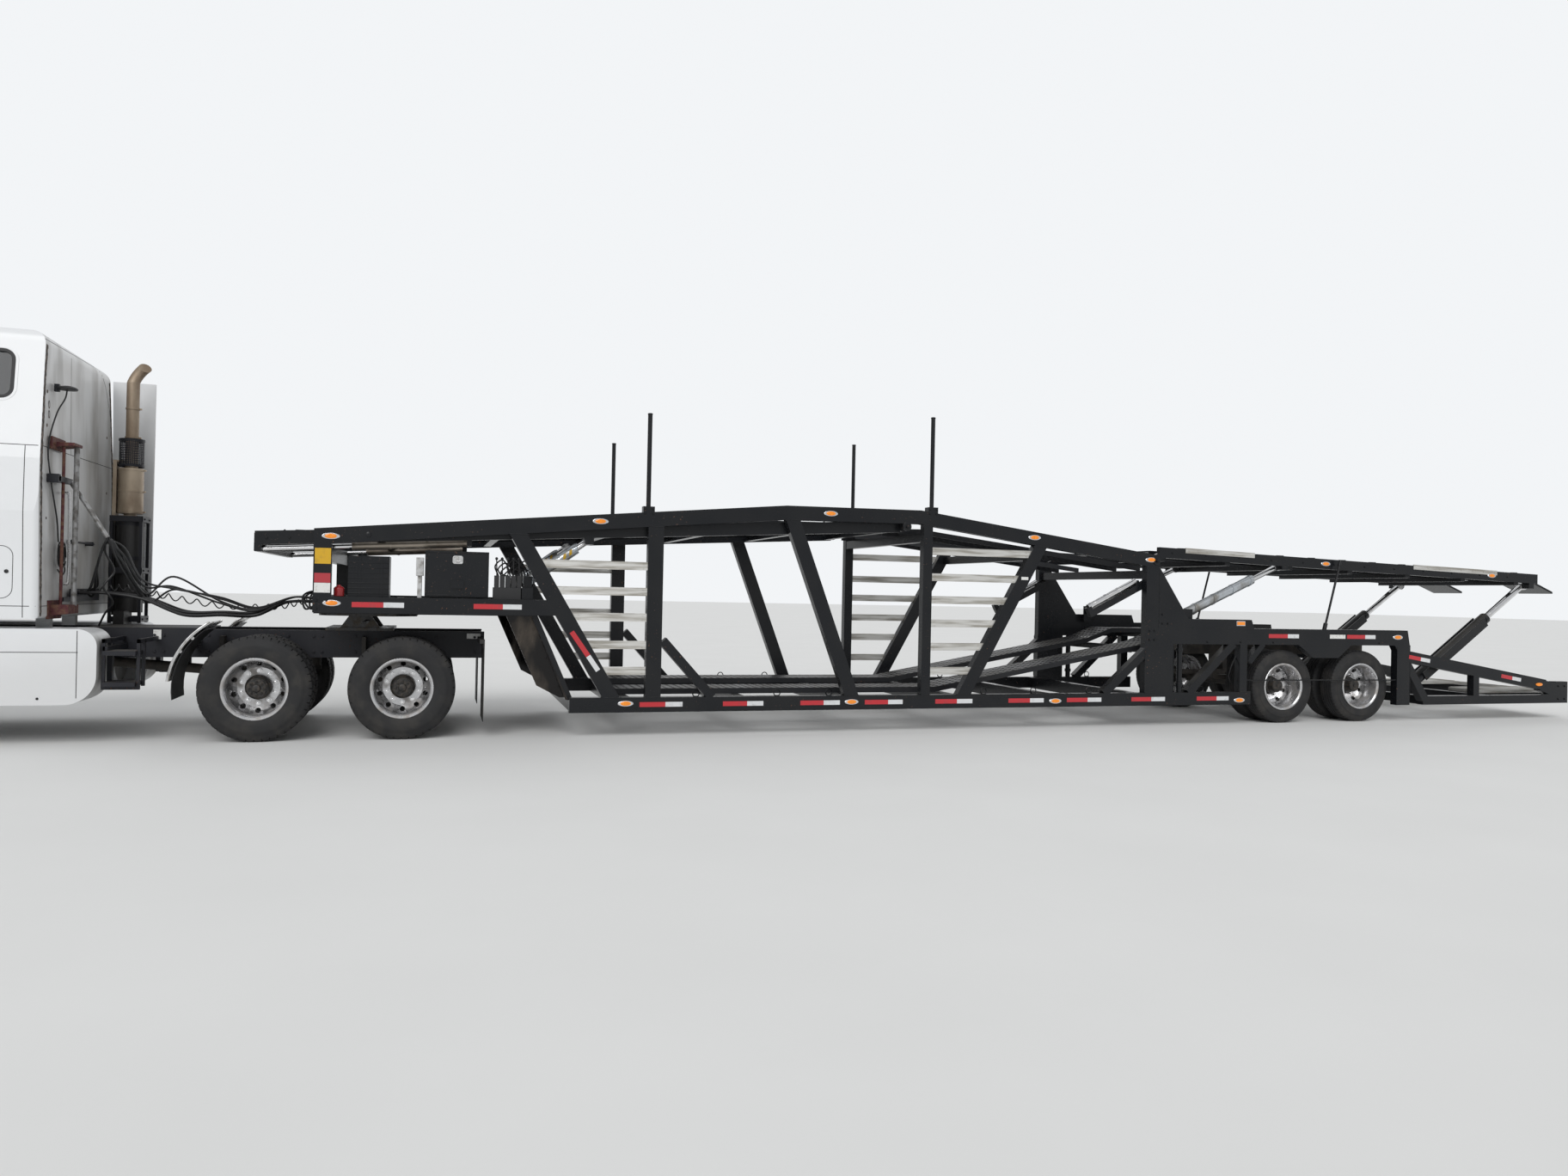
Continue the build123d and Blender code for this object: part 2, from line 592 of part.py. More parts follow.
# Fifth wheel: a plate with its throat, on two side brackets and a base on the rails
plate_top = coupling_z - bearing_gap
plate = make_face(FilletPolyline(
    (fifth_wheel_x - 420, -340, 0), (fifth_wheel_x + 330, -470, 0), (fifth_wheel_x + 560, -250, 0),
    (fifth_wheel_x + 560, 250, 0), (fifth_wheel_x + 330, 470, 0), (fifth_wheel_x - 420, 340, 0),
    radius=[200, 160, 90, 90, 160, 200], close=True))
fifth = Pos(0, 0, plate_top - plate_thickness) * extrude(plate, amount=plate_thickness, dir=(0, 0, 1))
throat = make_face(Polyline((fifth_wheel_x + 20, -70, 0), (fifth_wheel_x + 600, -190, 0),
                            (fifth_wheel_x + 600, 190, 0), (fifth_wheel_x + 20, 70, 0), close=True))
throat = extrude(throat, amount=plate_thickness + 10, dir=(0, 0, 1))
fifth -= Pos(0, 0, plate_top - plate_thickness - 5) * throat
fifth += rod((fifth_wheel_x, 0, plate_top - plate_thickness), (fifth_wheel_x, 0, plate_top), 90)
fifth -= rod((fifth_wheel_x, 0, plate_top - 200), (fifth_wheel_x, 0, plate_top + 10), kingpin_r + bearing_gap)
for side in (-1, 1):
    fifth += slab(((fifth_wheel_x - 200, rail_top_z + 20), (fifth_wheel_x + 200, rail_top_z + 20),
                   (fifth_wheel_x + 90, plate_top - 10), (fifth_wheel_x - 90, plate_top - 10)),
                  side * 330, side * 400)
fifth += block(fifth_wheel_x - 330, fifth_wheel_x + 330, -440, 440, rail_top_z + seat_gap, rail_top_z + 30)
nodes["fifth_wheel"] = fifth


# Quarter fenders ahead of the front drive wheels, and the mud flaps behind the rear ones
guard_inner, guard_outer = 600, 1215
guard_r = 745


def fender_arc(x, z, radius, thickness, start, end):
    """A curved band seen from the side, between two angles from level rear."""
    points = []
    for r, angles in ((radius, (start, end)), (radius - thickness, (end, start))):
        middle = (angles[0] + angles[1]) / 2
        points.append([(x + r * math.cos(math.radians(a)), z + r * math.sin(math.radians(a)))
                       for a in (angles[0], middle, angles[1])])
    (a, b, c), (d, e, f) = points
    return a, b, c, d, e, f


guards = []
for side in (-1, 1):
    a, b, c, d, e, f = [(x, side * guard_inner, z) for x, z in
                        fender_arc(front_drive_x, drive_z, guard_r, 14, 122, 174)]
    edge = Wire([ThreePointArc(a, b, c), Line(c, d), ThreePointArc(d, e, f), Line(f, a)])
    band = extrude(make_face(edge), amount=side * (guard_outer - guard_inner), dir=(0, 1, 0))
    band += block(front_drive_x - 690, front_drive_x - 615,
                  side * (rail_outer_y + seat_gap), side * 650, 880, 920)
    hanger = block(frame_rear_x - 70, frame_rear_x - 30,
                   side * (rail_outer_y + seat_gap), side * 1200, 950, 990)
    flap = block(frame_rear_x - 30, frame_rear_x - 22, side * 610, side * 1200, 165, 990)
    guards += [band, hanger + flap]
nodes["wheel_guards"] = group(*guards)


# Trailer side frames

def line_z(line, x):
    """Height of a line of points in X and Z at X."""
    for (x0, z0), (x1, z1) in zip(line, line[1:]):
        if x <= x1:
            return z0 + (z1 - z0) * (x - x0) / (x1 - x0)
    return line[-1][1]


def upper_z(x):
    """Height of the upper rail's top at X."""
    return line_z(upper_line, x)


def post(top_x, bottom_x, width, top_z, bottom_z):
    """A frame member between two rails, leaning from one X to another."""
    return [(top_x - width / 2, top_z), (top_x + width / 2, top_z),
            (bottom_x + width / 2, bottom_z), (bottom_x - width / 2, bottom_z)]


outer = trailer_half_width
inner = trailer_half_width - frame_thickness
bite = 70               # how far a member runs into its rail
member_table = (        # name, X at the upper rail, X at the lower rail, width along X
    ("diagonal 1", 1040, 2085, 180),
    ("post 2", 2481, 2481, 163),
    ("diagonal 2", 3960, 4730, 165),
    ("post 3", 5595, 5595, 110),
    ("diagonal 3", 7080, 6040, 170),
    ("post 4", 8596, 8596, 184),
)
brace_table = (         # start X, Z, end X, Z, depth
    (2578, 996, 3118, 400, 95),
    (8560, 940, 7940, 400, 95),
    (9800, 1010, 9140, 400, 95),
    (10250, 1010, 10040, 780, 70),
    (12390, 1050, 12890, 290, 110),
)


tail_post_x = (12400, 12620)
upright_x = 9030


def side_frame(side):
    """One side of the trailer, from its front post to its tail beam."""
    y = (side * inner, side * outer)
    top = [(x, z) for x, z in upper_line]
    rail = slab(top + [(x, z - upper_depth) for x, z in reversed(top)], *y)
    shape = rail + block(*lower_rail_x, *y, *lower_rail_z)
    shape += slab(((-823, gooseneck_z[0]), (1560, gooseneck_z[0]), (1480, gooseneck_z[1]),
                   (-823, gooseneck_z[1])), *y)
    shape += block(-823, -663, *y, gooseneck_z[0], upper_line[0][1])
    for name, top_x, bottom_x, width in member_table:
        low = lower_rail_z[1] - bite
        high = upper_z(top_x) - upper_depth + bite
        shape += slab(post(top_x, bottom_x, width, high, low), *y)
    for x0, z0, x1, z1, depth in brace_table:
        shape += bar((x0, z0), (x1, z1), *y, depth)
    low, high = box_rail_z
    shape += slab(((box_rail_x[0], low), (box_rail_x[1] + 40, low), (box_rail_x[1], high),
                   (box_rail_x[0], high)), *y)
    shape += slab(((8500, lower_rail_z[0]), (8907, lower_rail_z[0]), (8907, 1010), (8500, 1010)), *y)
    shape += slab(((8650, 1930), (8690, 1930), (9130, 1290), (9180, 1190), (8650, 1190)), *y)
    shape += slab(((8880, high), (10100, high), (10060, high + 110), (8910, high + 110)), *y)
    shape += block(9890, 10000, *y, lower_rail_z[1] - bite, low + bite)
    shape += slab(((10780, low + 5), (11640, low + 5), (11430, low - 165), (11040, low - 165)), *y)
    # The tail's sloped beam, lower beam, post and end bracket
    shape += bar(tail_slope[0], tail_slope[1], *y, 150)
    shape += block(12850, 15460, *y, tail_beam_z[0], tail_beam_z[1])
    shape += block(13730, 13830, *y, 300, 700)
    shape += block(15240, 15460, *y, tail_beam_z[0], 513)
    shape += slab(((14950, 540), (15240, 500), (15240, 300), (14950, 390)), *y)
    # The post behind the last wheel, and the upright cylinder ahead of the first
    shape += block(*tail_post_x, *y, tail_beam_z[0], low + 5)
    middle = side * (inner + outer) / 2
    shape += rod((upright_x, middle, lower_rail_z[1] - 5), (upright_x, middle, low + 5), 34)
    shape += rod((9995, side * (outer - 15), 553), (12405, side * (outer - 15), 545), 8)
    # Stanchions above the upper rail, each in its clamp, and a leaning stake over the axles
    for x, z in ((2400, 3370), (5650, 3550)):
        shape += rod((x, middle, upper_z(x) - 50), (x, middle, z), 24)
        shape += block(x - 60, x + 60, *y, upper_z(x) - 40, upper_z(x) + 60)
    shape += rod((11240, middle, high - 10), (11480, middle, 2080), 14)
    return shape


left_frame = side_frame(-1)
nodes["side_frames"] = group(left_frame, mirror(left_frame, about=Plane.XZ))


# The front deck's top line
deck_rail = 130


def deck_line(x):
    """Height of the front deck's top at X."""
    (x0, x1), (z0, z1) = front_deck_x, front_deck_top_z
    return z0 + (z1 - z0) * (x - x0) / (x1 - x0)


# The runways' top lines: the lower deck with its slope over the axles, and the upper deck's
# fixed middle
seat = lower_rail_z[1] + runway_depth
lower_line = ((2150, seat), (5878, seat), (8824, 1000), (9200, box_rail_z[1] - 60),
              (12500, box_rail_z[1] - 60))
middle_line = ((front_deck_x[1] + 80, 2295), (5650, 2300), (8660, 1950))


# Cross members: coupler, nose panels, floor and upper ties
ties = []
coupler = block(-823, 1240, -inner, inner, coupling_z, coupling_z + 12)
coupler += block(-823, -743, -inner, inner, coupling_z, gooseneck_z[1])
for x in (-100, 560, 1160):
    coupler += block(x - 40, x + 40, -inner, inner, coupling_z, gooseneck_z[1] - 20)
coupler += rod((fifth_wheel_x, 0, coupling_z - 84), (fifth_wheel_x, 0, coupling_z + 5), kingpin_r)
ties.append(coupler)
ties.append(slab(((1240 + seat_gap, coupling_z + 12), (1240 + seat_gap, coupling_z - 20), (1625, 360),
                  (1640, lower_rail_z[0]), (1700, lower_rail_z[0]), (1665, 380), (1290, coupling_z + 12)),
                 -inner, inner))
for x in (2200, 3450, 4700, 5950, 7200, 8400):
    ties.append(block(x - 50, x + 50, -inner, inner, lower_rail_z[0] + 5, lower_rail_z[1]))
# The front deck's rest, notched for the long cylinders under the deck's nose
rest_x = -743
nose_cylinder = ((-1300, 1845), (615, 1960))
nose_cylinder_y, nose_cylinder_r = deck_half_width - 90, 28
rest = block(rest_x - 45, rest_x + 45, -inner, inner, 1740, deck_line(rest_x - 45) - deck_rail - running_gap)
notch_z = line_z(nose_cylinder, rest_x - 45) - nose_cylinder_r - 2 * running_gap
for side in (-1, 1):
    rest -= block(rest_x - 50, rest_x + 50, side * (nose_cylinder_y - nose_cylinder_r - 2 * running_gap),
                  side * (nose_cylinder_y + nose_cylinder_r + 2 * running_gap), notch_z, 2000)
ties.append(rest)
ties.append(block(1120, 1240, -inner, inner, gooseneck_z[1], 1520))
tie_half, tie_depth = 50, 100
for x in (5595, 7040, 8590):
    high = min(line_z(middle_line, x - tie_half), line_z(middle_line, x + tie_half)) - runway_depth - seat_gap
    ties.append(block(x - tie_half, x + tie_half, -inner, inner, high - tie_depth, high))


# Runways: the lower deck with its slope over the axles, and the fixed middle of the upper deck

def runway(line, side):
    """A perforated track of even depth along a line in X and Z."""
    outline = list(line) + [(x, z - runway_depth) for x, z in reversed(line)]
    track = slab(outline, side * runway_y[0], side * runway_y[1])
    hollow = [(x, z - 12) for x, z in line] + [(x, z - runway_depth - 1) for x, z in reversed(line)]
    return track - slab(hollow, side * (runway_y[0] + 12), side * (runway_y[1] - 12))


tracks = []
for side in (-1, 1):
    tracks.append(runway(lower_line, side))
    tracks.append(runway(middle_line, side))
nodes["deck_runways"] = group(*tracks)


# Rear bed: ties over the axles, tail beams and the deck's carriers
bed = []
bed_depth = 70
for x in (8850, 9850, 11240, 12480):
    high = min(line_z(lower_line, x - tie_half), line_z(lower_line, x + tie_half)) - runway_depth - seat_gap
    bed.append(block(x - tie_half, x + tie_half, -inner, inner, high - bed_depth, high))
bed_low = high - bed_depth
for x in (12930, 14050):
    bed.append(block(x - 45, x + 45, -inner, inner, tail_beam_z[0], tail_beam_z[1]))
# The last tie carries two towing eyes, their holes across the truck
tail_tie = block(15375, 15465, -inner, inner, tail_beam_z[0], tail_beam_z[1])
rear_eye = (15520, (tail_beam_z[0] + tail_beam_z[1]) / 2)
rear_eye_y = (560, 590)
for side in (-1, 1):
    y = [side * value for value in rear_eye_y]
    tail_tie += block(15460, rear_eye[0], *y, rear_eye[1] - 35, rear_eye[1] + 35)
    tail_tie += across(*rear_eye, 35, *y)
    tail_tie -= across(*rear_eye, tow_pin_r, side * (rear_eye_y[0] - 5), side * (rear_eye_y[1] + 5))
bed.append(tail_tie)


# Hinge pins of both decks and the feet of the cylinders, on brackets inside the side frames
foot_table = (          # foot, pin radius, tube radius, bracket's X from, X to, Z from, Z to
    (front_lift[0], 22, 55, 1150, 1235, 1520, 1640),
    (rear_arm[0], 26, 75, 12890, 12970, tail_beam_z[1], 545),
    (mid_arm[0], 22, 60, 9190, 9310, 1210, 1430),
)
carriers = []
hinge_pin_r = 25
for (x, z), pin_r, tube_r, x0, x1, z0, z1 in foot_table:
    for side in (-1, 1):
        near = arm_y + tube_r + running_gap
        plate = block(x0, x1, side * near, side * (near + 24), z0, z1)
        if z0 > box_rail_z[1] and x > box_rail_x[0]:
            plate += block(x0, x1, side * near, side * inner, z0, z0 + 40)
        carriers.append(plate + across(x, z, pin_r, side * (arm_y - 35), side * (near + 5)))
for x, z in (front_hinge, rear_deck_pivot):
    for side in (-1, 1):
        pin_end = deck_half_width + running_gap
        carriers.append(across(x, z, hinge_pin_r, side * (deck_half_width - 65), side * (pin_end + 5))
                        + across(x, z, 45, side * pin_end, side * inner))
# The slope's cylinders, each on two lugs above an arm that stands out from the rear post
slope_arm = ((7790, 1345), (8600, 1750))
slope_share = 0.84          # how far along its arm the cylinder's head stands
slope_cylinder_r, slope_rise = 34, 82
run = Vector(slope_arm[1][0] - slope_arm[0][0], slope_arm[1][1] - slope_arm[0][1])
rise = Vector(-run.Y, run.X).normalized() * slope_rise
for side in (-1, 1):
    y = (side * (inner - 70), side * (inner - seat_gap))
    arm = bar(*slope_arm, *y, 80)
    pins = []
    for share in (0.03, slope_share):
        low = Vector(*slope_arm[0]) + run * share
        pins.append(low + rise)
        arm += bar((low.X, low.Y), (pins[-1].X, pins[-1].Y), *y, 60)
    middle = side * (inner - 36)
    arm += rod((pins[0].X, middle, pins[0].Y), (pins[1].X, middle, pins[1].Y), slope_cylinder_r)
    carriers.append(arm)
nodes["cross_members"] = group(*ties, *bed, *carriers)

# Trailer axles with their spindles, springs and hangers
trailer_z = trailer_tyre[0] / 2
axles = []
for x in trailer_axle_x:
    tip = spindle_tip(trailer_tyre_y)
    shape = across(x, trailer_z, spindle_r, -tip, tip) + across(x, trailer_z, 64, -600, 600)
    for side in (-1, 1):
        shape += block(x - 480, x + 480, side * 430, side * 520, trailer_z + 40, trailer_z + 100)
        for end in (-470, 470):
            shape += block(x + end - 35, x + end + 35, side * 430, side * 520,
                           trailer_z + 60, box_rail_z[0] - 20)
    axles.append(shape)
beam = block(9700, 12600, -520, -430, 840, bed_low - seat_gap)
axles_shape = axles[0] + axles[1] + both_sides(beam)
nodes["trailer_axles"] = axles_shape


# Toolbox on the gooseneck, with its lid
box_x, box_z = (190, 800), (gooseneck_z[1] + seat_gap, 1870)
box_depth = 420
wall = 12
chest_front = -trailer_half_width + 95
chest = block(*box_x, chest_front, chest_front + box_depth, *box_z)
chest -= block(box_x[0] + wall, box_x[1] - wall, chest_front - 1, chest_front + box_depth - wall,
               box_z[0] + wall, box_z[1] - wall)
reservoir = block(-520, -140, -inner + seat_gap, -860, gooseneck_z[1] + seat_gap, 1800)
nodes["toolbox"] = group(chest, reservoir)
lid_hinge = (chest_front - 12, box_z[0] + 16)           # Y and Z of the lid's hinge, along its foot
lid = block(box_x[0], box_x[1], chest_front - seat_gap - 22, chest_front - seat_gap, lid_hinge[1], box_z[1])
lid += rod((box_x[0] + 60, *lid_hinge), (box_x[1] - 60, *lid_hinge), 8)
lid += block(440, 560, chest_front - 40, chest_front - 20, 1500, 1580)
nodes["toolbox_door"] = lid


# Slats in two bays of each side
slats = []
slat_depth = 84
slat_table = (          # bay, middle of each slat
    ("behind diagonal 1", (1772, 1504, 1236, 950, 681)),
    ("ahead of diagonal 3", (2034, 1739, 1483, 1217, 952, 676)),
)


def diagonal_x(index, z):
    """Middle of a leaning member at height z."""
    _, top_x, bottom_x, _ = member_table[index]
    top_z = upper_z(top_x) - upper_depth + bite
    bottom_z = lower_rail_z[1] - bite
    return top_x + (bottom_x - top_x) * (top_z - z) / (top_z - bottom_z)


def slat(ends, z, y):
    """A slat at height z between two ends, each an X as a function of height."""
    low, high = z - slat_depth / 2, z + slat_depth / 2
    return slab([(ends[0](low), low), (ends[1](low), low), (ends[1](high), high), (ends[0](high), high)], *y)


for side in (-1, 1):
    y = (side * (outer - 32), side * (outer - 12))
    for z in slat_table[0][1]:
        ends = (lambda h: diagonal_x(0, h) + member_table[0][3] / 2 + seat_gap,
                lambda h: member_table[1][1] - member_table[1][3] / 2 - seat_gap)
        slats.append(slat(ends, z, y))
    for z in slat_table[1][1]:
        ends = (lambda h: member_table[3][1] + member_table[3][3] / 2 + seat_gap,
                lambda h: diagonal_x(4, h) - member_table[4][3] / 2 - seat_gap)
        slats.append(slat(ends, z, y))
nodes["side_rungs"] = group(*slats)


# Marker lamps, the same on both sides
lamps_table = (         # X, Z, length, height
    (-673, 1979, 95, 50), (-652, 1336, 95, 50), (1897, 2222, 95, 50), (4415, 2408, 95, 50),
    (6953, 2234, 95, 50), (8560, 2020, 95, 50), (2195, 343, 95, 50), (4703, 336, 95, 50),
    (7270, 321, 95, 50), (9888, 306, 95, 50), (9893, 1263, 110, 40), (12400, 1110, 95, 50),
)
markers = []
for side in (-1, 1):
    for x, z, length, height in lamps_table:
        markers.append(block(x - length / 2, x + length / 2, side * outer, side * (outer + 12),
                             z - height / 2, z + height / 2))
nodes["marker_lamps"] = group(*markers)


# Front deck: side rails, runways and cross bars, hinged at its rear end
eye_y = (deck_half_width - 60, deck_half_width)


def add_eyes(deck, place):
    """The deck with a round eye on each side about its hinge line."""
    for side in (-1, 1):
        deck += across(*place, 50, side * eye_y[0], side * eye_y[1])
        deck -= across(*place, hinge_pin_r + bearing_gap, side * (eye_y[0] - 5), side * (eye_y[1] + 5))
    return deck


def lug(place, side, top, rod_r):
    """A plate under a deck's rail, beside the eye of the rod that lifts it."""
    x, z = place
    near = arm_y + rod_r + 2 + bearing_gap
    return block(x - 45, x + 45, side * near, side * deck_half_width, z - 45, top + 20)


front_deck = None
for side in (-1, 1):
    (x0, x1), (z0, z1) = front_deck_x, front_deck_top_z
    rail = slab(((x0, z0), (x1, z1), (x1, z1 - deck_rail), (x0, z0 - deck_rail)),
                side * (deck_half_width - 60), side * deck_half_width)
    track = runway(((x0 + 80, deck_line(x0 + 80) - 10), (x1 - 20, deck_line(x1 - 20) - 10)), side)
    front_deck = rail + track if front_deck is None else front_deck + rail + track
for x in stations(front_deck_x[0] + 40, front_deck_x[1], 1090):
    top = deck_line(x) - 10 - runway_depth
    front_deck += block(x - 40, x + 40, -deck_half_width + 30, deck_half_width - 30, top - 50, top)
nose = block(front_deck_x[0], front_deck_x[0] + 60, -deck_half_width, deck_half_width, 1815, 2010)
front_deck += nose
# The long cylinders under the nose, each held by a lug on the side rail
for side in (-1, 1):
    (x0, z0), (x1, z1) = nose_cylinder
    y = side * nose_cylinder_y
    front_deck += rod((x0, y, z0), (x1, y, z1), nose_cylinder_r)
    front_deck += block(x1 - 30, x1 + 20, y - side * 30, side * (deck_half_width - 50),
                        z1 - 30, deck_line(x1) - 40)
front_deck = add_eyes(front_deck, front_hinge)
for side in (-1, 1):
    front_deck += lug(front_lift[1], side, deck_line(front_lift[1][0]) - deck_rail, 33)
nodes["front_deck"] = front_deck


# Lift cylinders: a tube with its eye at the foot and a rod with its eye at the deck
def cylinder_pair(foot, head, y, tube_r, rod_r, tube_share, eye_r, pin_r, travel):
    """Both sides' tubes and both sides' rods of a cylinder, foot and head in X and Z.
    travel is how far the rod sinks into its tube at the lowest pose."""
    run = Vector(head[0] - foot[0], 0, head[1] - foot[1])
    unit = run.normalized()
    tubes, rods = [], []
    for side in (-1, 1):
        a = Vector(foot[0], side * y, foot[1])
        b = Vector(head[0], side * y, head[1])
        tube_end = a + unit * (run.length * tube_share)
        tube = rod(tuple(a + unit * (eye_r * 0.8)), tuple(tube_end), tube_r)
        tube -= rod(tuple(a + unit * (eye_r + 20)), tuple(tube_end + unit), rod_r + bearing_gap)
        tube += across(a.X, a.Z, eye_r, side * (y - 35), side * (y + 35))
        tube -= across(a.X, a.Z, pin_r + bearing_gap, side * (y - 40), side * (y + 40))
        tubes.append(tube)
        ram = rod(tuple(a + unit * (eye_r + 40 + travel)), tuple(b - unit * (eye_r * 0.8)), rod_r)
        ram += across(b.X, b.Z, eye_r, side * (y - rod_r - 2), side * (y + rod_r + 2))
        rods.append(ram)
    return group(*tubes), group(*rods)


tubes, rods = cylinder_pair(*front_lift, arm_y, 55, 33, 0.80, 52, 22, 0)
nodes["front_lift_tubes"], nodes["front_lift_rods"] = tubes, rods


# Rear upper deck: side rails, runways, cross bars and the perforated flaps at its end
start_x, start_z = rear_deck_start
end_x, end_z = rear_deck_end


def rear_top(x):
    """Height of the rear deck's top at X."""
    return start_z + (end_z - start_z) * (x - start_x) / (end_x - start_x)


rear_rail = 130
rear_deck = None
for side in (-1, 1):
    rail = slab(((start_x, rear_top(start_x)), (end_x, rear_top(end_x)),
                 (end_x, rear_top(end_x) - rear_rail), (start_x, rear_top(start_x) - rear_rail)),
                side * (deck_half_width - 60), side * deck_half_width)
    track = runway(((start_x + 20, rear_top(start_x) - 40), (end_x, rear_top(end_x) - 40)), side)
    flap = slab(((end_x - 10, rear_top(end_x) - 40), (tail_x, 1760), (tail_x, 1745),
                 (end_x - 10, rear_top(end_x) - 60)), side * 470, side * 980)
    arm = rail + track + flap
    rear_deck = arm if rear_deck is None else rear_deck + arm
for x in stations(start_x + 60, end_x - 300, 970):
    top = rear_top(x) - 40 - runway_depth
    rear_deck += block(x - 40, x + 40, -deck_half_width + 30, deck_half_width - 30, top - 70, top)
top = rear_top(end_x) - 40 - runway_depth
rear_deck += block(end_x - 60, end_x - 10, -runway_y[1], runway_y[1], top - 40, top + 20)
for side in (-1, 1):
    rear_deck += bar(rear_deck_pivot, (start_x + 130, rear_top(start_x) - 65),
                     side * eye_y[0], side * eye_y[1], 90)
    for head, rod_r in ((rear_arm[1], 45), (mid_arm[1], 36)):
        rear_deck += lug(head, side, rear_top(head[0]) - rear_rail, rod_r)
rear_deck = add_eyes(rear_deck, rear_deck_pivot)
nodes["rear_deck"] = rear_deck

tubes, rods = cylinder_pair(*rear_arm, arm_y, 75, 45, 0.66, 62, 26, 500)
nodes["rear_arm_tubes"], nodes["rear_arm_rods"] = tubes, rods
tubes, rods = cylinder_pair(*mid_arm, arm_y, 60, 36, 0.72, 52, 22, 290)
nodes["mid_arm_tubes"], nodes["mid_arm_rods"] = tubes, rods


# Tail ramps, stowed under the tail and drawn out rearwards
ramps = []
ramp_z = (tail_beam_z[1] + seat_gap, tail_beam_z[1] + 45)
for side in (-1, 1):
    ramp = block(14200, 15500, side * 500, side * 980, *ramp_z)
    ramps.append(ramp)
ramp_bar = block(15475, 15500, -1000, 1000, *ramp_z)
nodes["tail_ramps"] = ramps[0] + ramps[1] + ramp_bar


# Service hoses from the rack to the trailer's nose
def hose(route, radius):
    """A hose through the points of its route, each bend as large as its runs allow."""
    points = [Vector(*p) for p in route]
    bends = []
    for before, corner, after in zip(points, points[1:], points[2:]):
        turn = (corner - before).get_angle(after - corner)
        shorter = min((corner - before).length, (after - corner).length)
        bends.append(0.45 * shorter / math.tan(math.radians(turn / 2)))
    path = FilletPolyline(*route, radius=bends)
    return sweep(Plane(origin=path @ 0, z_dir=path % 0) * Circle(radius), path=path)


hose_r = 14
# Each hose has a joint on a circle about the kingpin, just outside what the trailer's nose sweeps.
# One piece runs from the rack to the joint, and the other from the joint to the coupler's nose.
hose_joint_r = math.hypot(fifth_wheel_x - upper_line[0][0], trailer_half_width) + 20
hose_table = (          # Y at the rack, angle of its joint about the kingpin, Y at the trailer, height there
    (-350, -12.0, -330, 1185), (-285, -9.0, -250, 1210), (-220, -6.2, -170, 1175),
    (-155, -3.2, -80, 1200), (-90, -0.4, 20, 1180), (-25, 2.6, 110, 1205),
)
front_hoses, rear_hoses = [], []
for y0, angle, y1, low in hose_table:
    def joint_point(radius):
        turn = math.radians(angle)
        return (fifth_wheel_x - radius * math.cos(turn), radius * math.sin(turn), low)

    front_hoses.append(hose([
        (back + 60 + seat_gap, y0, 1385), (-2800, y0, 1385), (-2470, y0 - 40, 1330),
        joint_point(hose_joint_r + 340), joint_point(hose_joint_r + seat_gap)], hose_r))
    rear_hoses.append(hose([
        joint_point(hose_joint_r), joint_point(hose_joint_r - 330),
        (-1180, y1, 1330), (upper_line[0][0] - seat_gap, y1, 1330)], hose_r))
nodes["service_hoses"] = group(*front_hoses)
nodes["trailer_hoses"] = group(*rear_hoses)


# Everything moves so that X is zero at mid-length
middle_x = (bumper_x + tail_x) / 2
os.makedirs("parts", exist_ok=True)
for name, shape in nodes.items():
    export_step(Pos(-middle_x, 0, 0) * shape, f"parts/{name}.step")
print("nodes", len(nodes), "middle X", middle_x)
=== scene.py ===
import bmesh
import bpy
import math
import random
from mathutils import Matrix, Vector
from mathutils.bvhtree import BVHTree


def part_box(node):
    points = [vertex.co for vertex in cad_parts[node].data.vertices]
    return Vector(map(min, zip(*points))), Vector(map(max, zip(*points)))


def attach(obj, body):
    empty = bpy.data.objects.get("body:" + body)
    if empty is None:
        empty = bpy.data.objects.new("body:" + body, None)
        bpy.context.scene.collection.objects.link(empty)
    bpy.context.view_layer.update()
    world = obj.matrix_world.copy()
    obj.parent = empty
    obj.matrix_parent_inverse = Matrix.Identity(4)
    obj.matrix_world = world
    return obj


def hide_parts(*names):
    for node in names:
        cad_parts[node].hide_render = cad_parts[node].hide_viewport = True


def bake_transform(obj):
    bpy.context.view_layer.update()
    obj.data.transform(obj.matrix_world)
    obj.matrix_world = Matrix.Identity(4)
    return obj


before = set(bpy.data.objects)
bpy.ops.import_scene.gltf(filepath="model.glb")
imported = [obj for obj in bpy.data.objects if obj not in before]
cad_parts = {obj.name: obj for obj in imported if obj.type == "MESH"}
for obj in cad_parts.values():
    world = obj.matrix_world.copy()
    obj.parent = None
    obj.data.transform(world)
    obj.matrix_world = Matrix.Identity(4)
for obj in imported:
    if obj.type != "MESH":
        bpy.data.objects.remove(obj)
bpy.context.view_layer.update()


# The view: a camera at eye height beside the trailer, looking a little towards its tail.
# Its place is measured from the rear drive axle, which the frame gives.

def centre_of(node):
    """Middle of a node's box."""
    low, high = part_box(node)
    return (low + high) / 2


axle_x = centre_of("rear_drive_tyres_left").x


def behind_axle(node):
    """How far a node's middle is behind the rear drive axle."""
    return centre_of(node).x - axle_x


